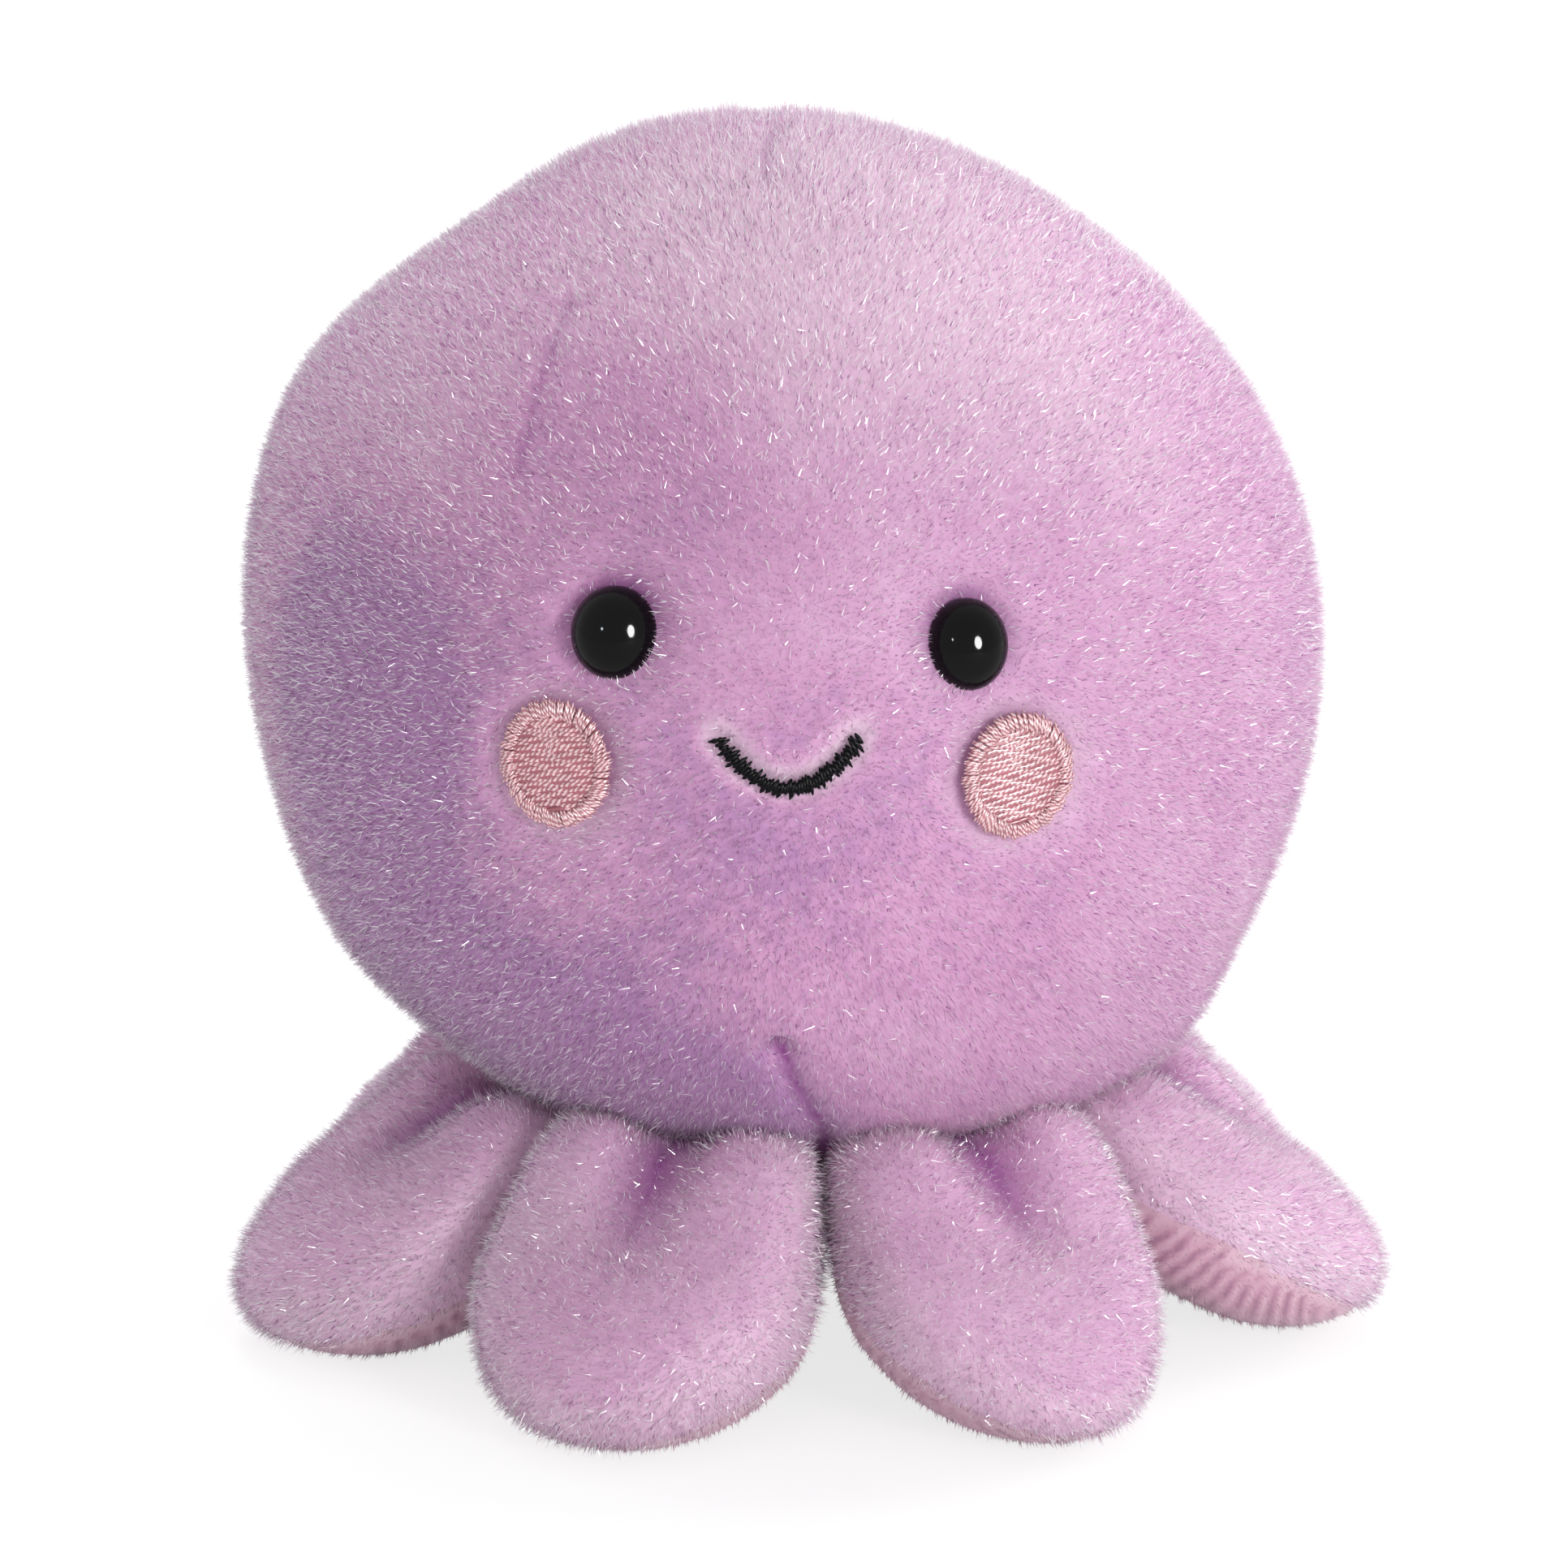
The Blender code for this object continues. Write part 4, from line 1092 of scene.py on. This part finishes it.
# Face
@dataclass
class Eye:
    """A domed eye with a rim and the shank behind it."""

    side: Side
    head: Head
    dome_height: float = 0.0035
    dome_steps: int = 16
    rim_height: float = 0.0006
    rim_bevel: tuple = (0.0003, 0.0002)
    seat: float = -0.0019
    shank_radius: float = 0.0014
    shank_length: float = 0.0075

    def dress(self, finish: Material) -> None:
        """Turn the eye's profile, and seat it in the face."""
        radius, seat, foot = self.head.eye_radius, self.seat, self.seat - self.shank_length
        profile = [(0.0, seat + self.rim_height + self.dome_height)]
        for index in range(1, self.dome_steps + 1):
            angle = math.radians(90.0 * (1.0 - index / self.dome_steps))
            profile.append((radius * math.cos(angle), seat + self.rim_height + self.dome_height * math.sin(angle)))
        profile += [(radius, seat + self.rim_bevel[1]), (radius - self.rim_bevel[0], seat),
                    (self.shank_radius, seat), (self.shank_radius, foot), (0.0, foot)]
        shape = turn_profile(profile)
        bmesh.ops.scale(shape, vec=(*self.head.eye_shares[self.side.value], 1.0), verts=shape.verts)
        bmesh.ops.transform(shape, matrix=self.head.frame_at(*self.head.eyes_deg[self.side.value]),
                            verts=shape.verts)
        name = f"eye_dome_{self.side.word}"
        fix(add_object(name, to_mesh(name, shape), [finish]), Slot.EYE, f"eye_{self.side.word}")


class Embroidery:
    """A piece of embroidery that collects stitches, and makes them one mesh of twisted threads."""

    def __init__(self, rng: np.random.Generator, sides: int = 7) -> None:
        """Start an empty piece.

        Args:
            rng: The source of chance.
            sides: Faces around a thread.
        """
        self.rng = rng
        self.sides = sides
        # Length of a ply's turn, share of the thread's radius at its ends, and relief of its plies
        self.pitch, self.thinnest, self.ply_depth = 0.00055, 0.35, 0.22
        self.shape = bmesh.new()
        self.twist: list[float] = []

    def add(self, points: Array, radius: float) -> None:
        """Sweep a ring of the thread along a stitch, thin where it dives into the cloth.

        Args:
            points: The visible run of the thread from hole to hole, in the patch's own frame.
            radius: The thread's radius.
        """
        lay = self.rng.uniform(0.0, 6.0)
        ways = unit(np.gradient(points, axis=0))
        steps = np.concatenate([[0.0], np.cumsum(np.linalg.norm(np.diff(points, axis=0), axis=1))])
        last = None
        for index, (point, way) in enumerate(zip(points, ways)):
            share = index / (len(points) - 1)
            thin = self.thinnest + (1.0 - self.thinnest) * math.sin(math.pi * share) ** 0.35
            across = unit(np.cross(way, UP))
            over = np.cross(across, way)
            phase = math.tau * steps[index] / self.pitch + lay
            ring = []
            for side in range(self.sides):
                angle = math.tau * side / self.sides
                ply = 1.0 + self.ply_depth * math.cos(2.0 * angle - phase)
                spot = point + (across * math.cos(angle) + over * math.sin(angle)) * radius * thin * ply
                ring.append(self.shape.verts.new(spot))
                # The twist sets each ply's painted shade and highlight
                self.twist.append(2.0 * angle - phase)
            hoop = [self.shape.edges.new((ring[i], ring[(i + 1) % self.sides])) for i in range(self.sides)]
            if last is None:
                self.shape.faces.new(ring)
            else:
                bmesh.ops.bridge_loops(self.shape, edges=last + hoop)
            last = hoop
        self.shape.faces.new(ring)

    def back(self, half_width: float, half_height: float, depth: float, level: float) -> None:
        """Lay a closed oval of backing under the stitches."""
        made = bmesh.ops.create_uvsphere(self.shape, u_segments=40, v_segments=20, radius=1.0)["verts"]
        bmesh.ops.scale(self.shape, vec=(half_width, half_height, depth / 2.0), verts=made)
        bmesh.ops.translate(self.shape, vec=(0.0, 0.0, level), verts=made)
        # The backing takes the thread's shadow colour: painted shade between the stitches
        self.twist += [-math.pi / 2.0] * len(made)

    def finish(self, name: str, wrap: Callable[[Array], Array], finish: Material) -> Object:
        """Lay the stitches on the head and make them an object.

        Args:
            name: The piece's name.
            wrap: Takes points of the patch's frame to the toy's.
            finish: The thread's material.

        Returns:
            The embroidery.
        """
        mesh = to_mesh(name, self.shape)
        move_points(mesh, wrap(read_rows(mesh.vertices, "co")))
        write_mark(mesh, "twist", np.array(self.twist))
        return add_object(name, mesh, [finish])


@dataclass
class Cheek:
    """An oval patch: rows of wavy fill inside a ring of radial satin stitches."""

    side: Side
    head: Head
    sink: float = -0.0002
    backing_share: float = 0.97
    backing_depth: float = 0.0007
    backing_level: float = -0.00022
    row_pitch: float = 0.00047
    row_step: float = 0.00022
    row_slant: float = 0.10
    shortest_row: float = 0.0008
    # Height, waves per metre and shift from row to row of the fill's waves, along the cloth and over it
    wave: tuple = (0.00010, 1900.0, 2.1)
    swell: tuple = (0.00006, 2600.0, 3.3)
    wander: float = 0.00002
    fill_radius: float = 0.00023
    ring_width: float = 0.00150
    ring_stitches: int = 118
    ring_radius: float = 0.00016
    ring_height: float = 0.00042
    ring_turn: float = 0.05
    ring_scatter: float = 0.012

    def wrap(self, points: Array) -> Array:
        """Lay points of the patch's frame on the head's curve."""
        matrix = np.array(self.head.frame_at(*self.head.cheeks_deg[self.side.value]))
        sag = (points[:, 0] ** 2 + points[:, 1] ** 2) / (2.0 * self.head.radius)
        laid = points - np.stack([0.0 * sag, 0.0 * sag, sag + self.sink], axis=1)
        return laid @ matrix[:3, :3].T + matrix[:3, 3]

    def fill(self, work: Embroidery, wide: float, high: float) -> None:
        """Stitch the rows inside an oval of given half width and half height."""
        rows = int(2.0 * high / self.row_pitch)
        for row in range(rows):
            level = (row - (rows - 1) / 2.0) * self.row_pitch
            reach = wide * math.sqrt(max(0.0, 1.0 - (level / high) ** 2))
            if reach < self.shortest_row:
                continue
            count = max(6, int(2.0 * reach / self.row_step))
            across = np.linspace(-reach, reach, count)
            side, lift = (size * np.sin(across * waves + row * shift)
                          for size, waves, shift in (self.wave, self.swell))
            upward = level + (side + across * self.row_slant + work.rng.normal(0.0, self.wander, count))
            work.add(np.stack([across, upward, lift], axis=1), self.fill_radius)

    def edge(self, work: Embroidery, wide: float, high: float) -> None:
        """Stitch the ring over the rows' ends."""
        step = np.linspace(0.0, 1.0, 7)
        hump = self.ring_height * np.sin(math.pi * step ** 0.7).clip(0.0) ** 0.7 + self.backing_level
        for index in range(self.ring_stitches):
            slant = math.tau * index / self.ring_stitches + work.rng.normal(0.0, self.ring_scatter)
            outer = 1.0 + work.rng.uniform(-0.015, 0.055)
            inner = 1.0 - self.ring_width / wide * work.rng.uniform(0.9, 1.1)
            share = inner + (outer - inner) * step
            turn = slant + self.ring_turn * (step - 0.5)
            work.add(np.stack([wide * share * np.cos(turn), high * share * np.sin(turn), hump + 0.0001], axis=1),
                     self.ring_radius)

    def dress(self, finish: Material) -> None:
        """Stitch the patch."""
        work = Embroidery(np.random.default_rng(70 + self.side.value))
        wide, high = self.head.cheek_half_width, self.head.cheek_half_height
        work.back(wide * self.backing_share, high * self.backing_share, self.backing_depth, self.backing_level)
        self.fill(work, wide - self.ring_width * 0.8, high - self.ring_width * 0.8)
        self.edge(work, wide, high)
        patch = work.finish(f"cheek_stitches_{self.side.word}", self.wrap, finish)
        fix(patch, Slot.CHEEK, f"cheek_{self.side.word}")


@dataclass
class Mouth:
    """The smile: a line of short satin stitches across its path."""

    head: Head
    stitches: int = 50
    half_length: float = 0.00070
    thread_radius: float = 0.00022
    height: float = 0.00030
    depth: float = 0.00020

    def dress(self, finish: Material) -> None:
        """Stitch the smile."""
        work = Embroidery(np.random.default_rng(90), sides=6)
        ways = self.head.mouth_path(self.stitches)
        middles = self.head.surface(ways)
        runs = unit(np.gradient(middles, axis=0))
        for middle, way, run in zip(middles, ways, runs):
            across = unit(np.cross(way, run) + run * work.rng.normal(0.22, 0.10))
            ends = work.rng.uniform(0.60, 1.60, 2) * self.half_length
            step = np.linspace(-1.0, 1.0, 7)[:, None]
            hump = self.height * (1.0 - step ** 2) - self.depth
            work.add(middle + across * step * np.where(step > 0.0, ends[1], ends[0]) + way * hump,
                     self.thread_radius)
        fix(work.finish("mouth_stitches", lambda points: points, finish), Slot.MOUTH, "mouth_embroidery")


# Studio
def stand(item: Object, aim: tuple, azimuth_deg: float, elevation_deg: float, distance: float) -> None:
    """Link a lamp or a camera, at a distance from what it points at."""
    bpy.context.scene.collection.objects.link(item)
    way = Vector(heading(azimuth_deg, elevation_deg))
    item.location = Vector(aim) + way * distance
    item.rotation_euler = (-way).to_track_quat("-Z", "Y").to_euler()


@dataclass(frozen=True)
class SoftBox:
    """An area lamp aimed at the toy."""

    name: str
    azimuth_deg: float
    elevation_deg: float
    distance: float
    width: float
    height: float
    watts: float
    colour: Colour = WHITE
    mirrored: bool = True
    lighting: bool = True

    def place(self, aim: tuple) -> None:
        """Set the lamp up."""
        lamp = bpy.data.lights.new(self.name, "AREA")
        lamp.shape = "ELLIPSE"
        lamp.size, lamp.size_y = self.width, self.height
        lamp.energy = self.watts
        lamp.color = self.colour
        item = bpy.data.objects.new(self.name, lamp)
        item.visible_glossy = self.mirrored
        item.visible_diffuse = self.lighting
        stand(item, aim, self.azimuth_deg, self.elevation_deg, self.distance)


@dataclass
class Studio:
    """White sweep, soft lamps and the photograph's camera."""

    aim: tuple = (-0.0026, 0.0, 0.0512)
    camera_distance: float = 0.7
    camera_elevation_deg: float = 16.0
    focal_pixels: float = 8846.0
    picture_pixels: float = 1932.0
    sensor_mm: float = 36.0
    floor_size: float = 6.0
    floor_veil: float = 0.30
    floor_glow: float = 0.78
    surround_strength: float = 0.48
    boxes: tuple = (
        SoftBox("key_box", 33.0, 16.0, 1.1, 0.22, 0.28, 3.4, mirrored=False),
        SoftBox("key_mirror_box", 33.0, 16.0, 1.0, 0.32, 0.42, 32.0, lighting=False),
        SoftBox("fill_mirror_box", -38.0, 20.0, 1.3, 0.10, 0.10, 2.2, (0.85, 0.90, 1.0), lighting=False),
        SoftBox("front_box", 4.0, 9.0, 1.6, 2.0, 0.5, 2.0, mirrored=False),
        SoftBox("back_box", 180.0, 68.0, 1.3, 1.2, 1.0, 10.0, mirrored=False),
        SoftBox("right_box", 118.0, 16.0, 1.4, 0.7, 0.7, 10.0, mirrored=False),
        SoftBox("left_box", -118.0, 16.0, 1.4, 0.7, 0.7, 3.6, (0.88, 0.92, 1.0), mirrored=False))

    def build_floor(self) -> None:
        """A pale floor that shows white to the camera and keeps the toy's shadow."""
        shape = bmesh.new()
        bmesh.ops.create_grid(shape, x_segments=1, y_segments=1, size=self.floor_size)
        recipe = Recipe("studio_floor", 0.9, 0.1)
        seen = recipe.seen()
        paper = recipe.span(recipe.noise(3.0), 0.3, 0.7, 0.90, 0.93)
        veil = recipe.span(seen, 0.0, 1.0, 1.0, self.floor_veil)
        recipe.set({"Base Color": recipe.calc("MULTIPLY", paper, veil), "Emission Color": (*WHITE, 1.0),
                    "Emission Strength": recipe.calc("MULTIPLY", seen, self.floor_glow)})
        add_object("studio_floor", to_mesh("studio_floor", shape, False), [recipe.material])

    def build_world(self) -> None:
        """A white surround that lights the toy softly."""
        world = bpy.data.worlds.new("studio_surround")
        bpy.context.scene.world = world
        world.use_nodes = True
        nodes = Nodes(world.node_tree)
        back = world.node_tree.nodes["Background"].inputs
        nodes.put((*WHITE, 1.0), back["Color"])
        nodes.put(nodes.span(nodes.seen(), 0.0, 1.0, self.surround_strength, 1.0), back["Strength"])

    def build_camera(self) -> None:
        """The camera that was fitted to the photograph."""
        lens = bpy.data.cameras.new("photo_camera")
        lens.sensor_width = self.sensor_mm
        lens.lens = self.focal_pixels / self.picture_pixels * self.sensor_mm
        camera = bpy.data.objects.new("photo_camera", lens)
        stand(camera, self.aim, 0.0, self.camera_elevation_deg, self.camera_distance)
        bpy.context.scene.camera = camera

    def build(self) -> None:
        """Set up the floor, the surround, the lamps and the camera."""
        self.build_floor()
        self.build_world()
        for box in self.boxes:
            box.place(self.aim)
        self.build_camera()
        bpy.context.scene.view_settings.view_transform = "Standard"


def make_plushes() -> Plushes:
    """Dye the three kinds of pile."""
    lilac = PlushFinish("lilac_pile", shade_colour=(0.300, 0.055, 0.290), dark=(0.470, 0.215, 0.480),
                        middle=(0.700, 0.345, 0.605), pale=(0.850, 0.580, 0.765), glint=(0.95, 0.90, 0.95))
    # The glinting strands are dyed near white all over: painted highlights, which their high specular also makes
    # sparkle
    painted_glint_finish = PlushFinish("lilac_painted_glints", shade_colour=(0.400, 0.200, 0.380), dark=(0.750, 0.600, 0.740),
                        middle=(0.820, 0.660, 0.800), pale=(0.900, 0.800, 0.880), glint=(0.98, 0.96, 0.98),
                        root_shade=1.0, shade_tick_strength=0.0, roughness=0.34, specular=1.0, sheen=0.30)
    pink = PlushFinish("pink_pile", shade_colour=(0.300, 0.090, 0.190), dark=(0.450, 0.240, 0.340),
                       middle=(0.640, 0.345, 0.465), pale=(0.760, 0.500, 0.600), glint=(0.90, 0.80, 0.85),
                       cloud_scale=90.0, cloud_strength=0.5, shade_tick_strength=0.30)
    return Plushes(
        long=Pile(lilac.make(), density=8.6e6, length=0.0012, width=0.00016, lean_deg=16.0, scatter=0.20,
                  clump=0.06),
        glints=Pile(painted_glint_finish.make(), density=2.9e6, length=0.0009, width=0.00011, lean_deg=30.0, scatter=0.45,
                    glint=1.0, facing_scatter=0.55, root_depth=-0.0004, shortest=0.70, longest=1.40),
        short=Pile(pink.make(), density=8.0e6, length=0.0008, width=0.00017, lean_deg=30.0, scatter=0.16,
                   clump=0.25))


def main() -> None:
    """Dress the frame, piece by piece."""
    logging.basicConfig(level=logging.INFO, format="%(message)s")
    plushes = make_plushes()
    eye_plastic = GlossFinish("eye_gloss", (0.0025, 0.0025, 0.003), specular=0.12).make()
    washer_plastic = GlossFinish("washer_gloss", (0.72, 0.72, 0.69), 0.35).make()
    cheek_thread = ThreadFinish("cheek_satin", (0.420, 0.130, 0.165), (0.680, 0.345, 0.385),
                                (0.940, 0.740, 0.750), roughness=0.30, specular=0.50).make()
    mouth_thread = ThreadFinish("mouth_satin", (0.002, 0.002, 0.002), (0.005, 0.005, 0.006),
                                (0.015, 0.015, 0.018), roughness=0.40, specular=0.05).make()
    Studio().build()
    LOG.info("studio ready")
    head = Head()
    head.dress(plushes)
    LOG.info("head dressed")
    for side in Side:
        Eye(side, head).dress(eye_plastic)
        Cheek(side, head).dress(cheek_thread)
        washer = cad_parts[f"eye_washer_{side.word}"]
        washer.data.materials.clear()
        washer.data.materials.append(washer_plastic)
        LOG.info("eye and cheek on the %s", side.word)
    Mouth(head).dress(mouth_thread)
    LOG.info("smile stitched")
    for number in range(1, 9):
        Tentacle(number, head).dress(plushes)
        LOG.info("tentacle %d dressed", number)
    Belly().dress(plushes.short)
    LOG.info("belly closed")


if __name__ == "__main__":
    main()
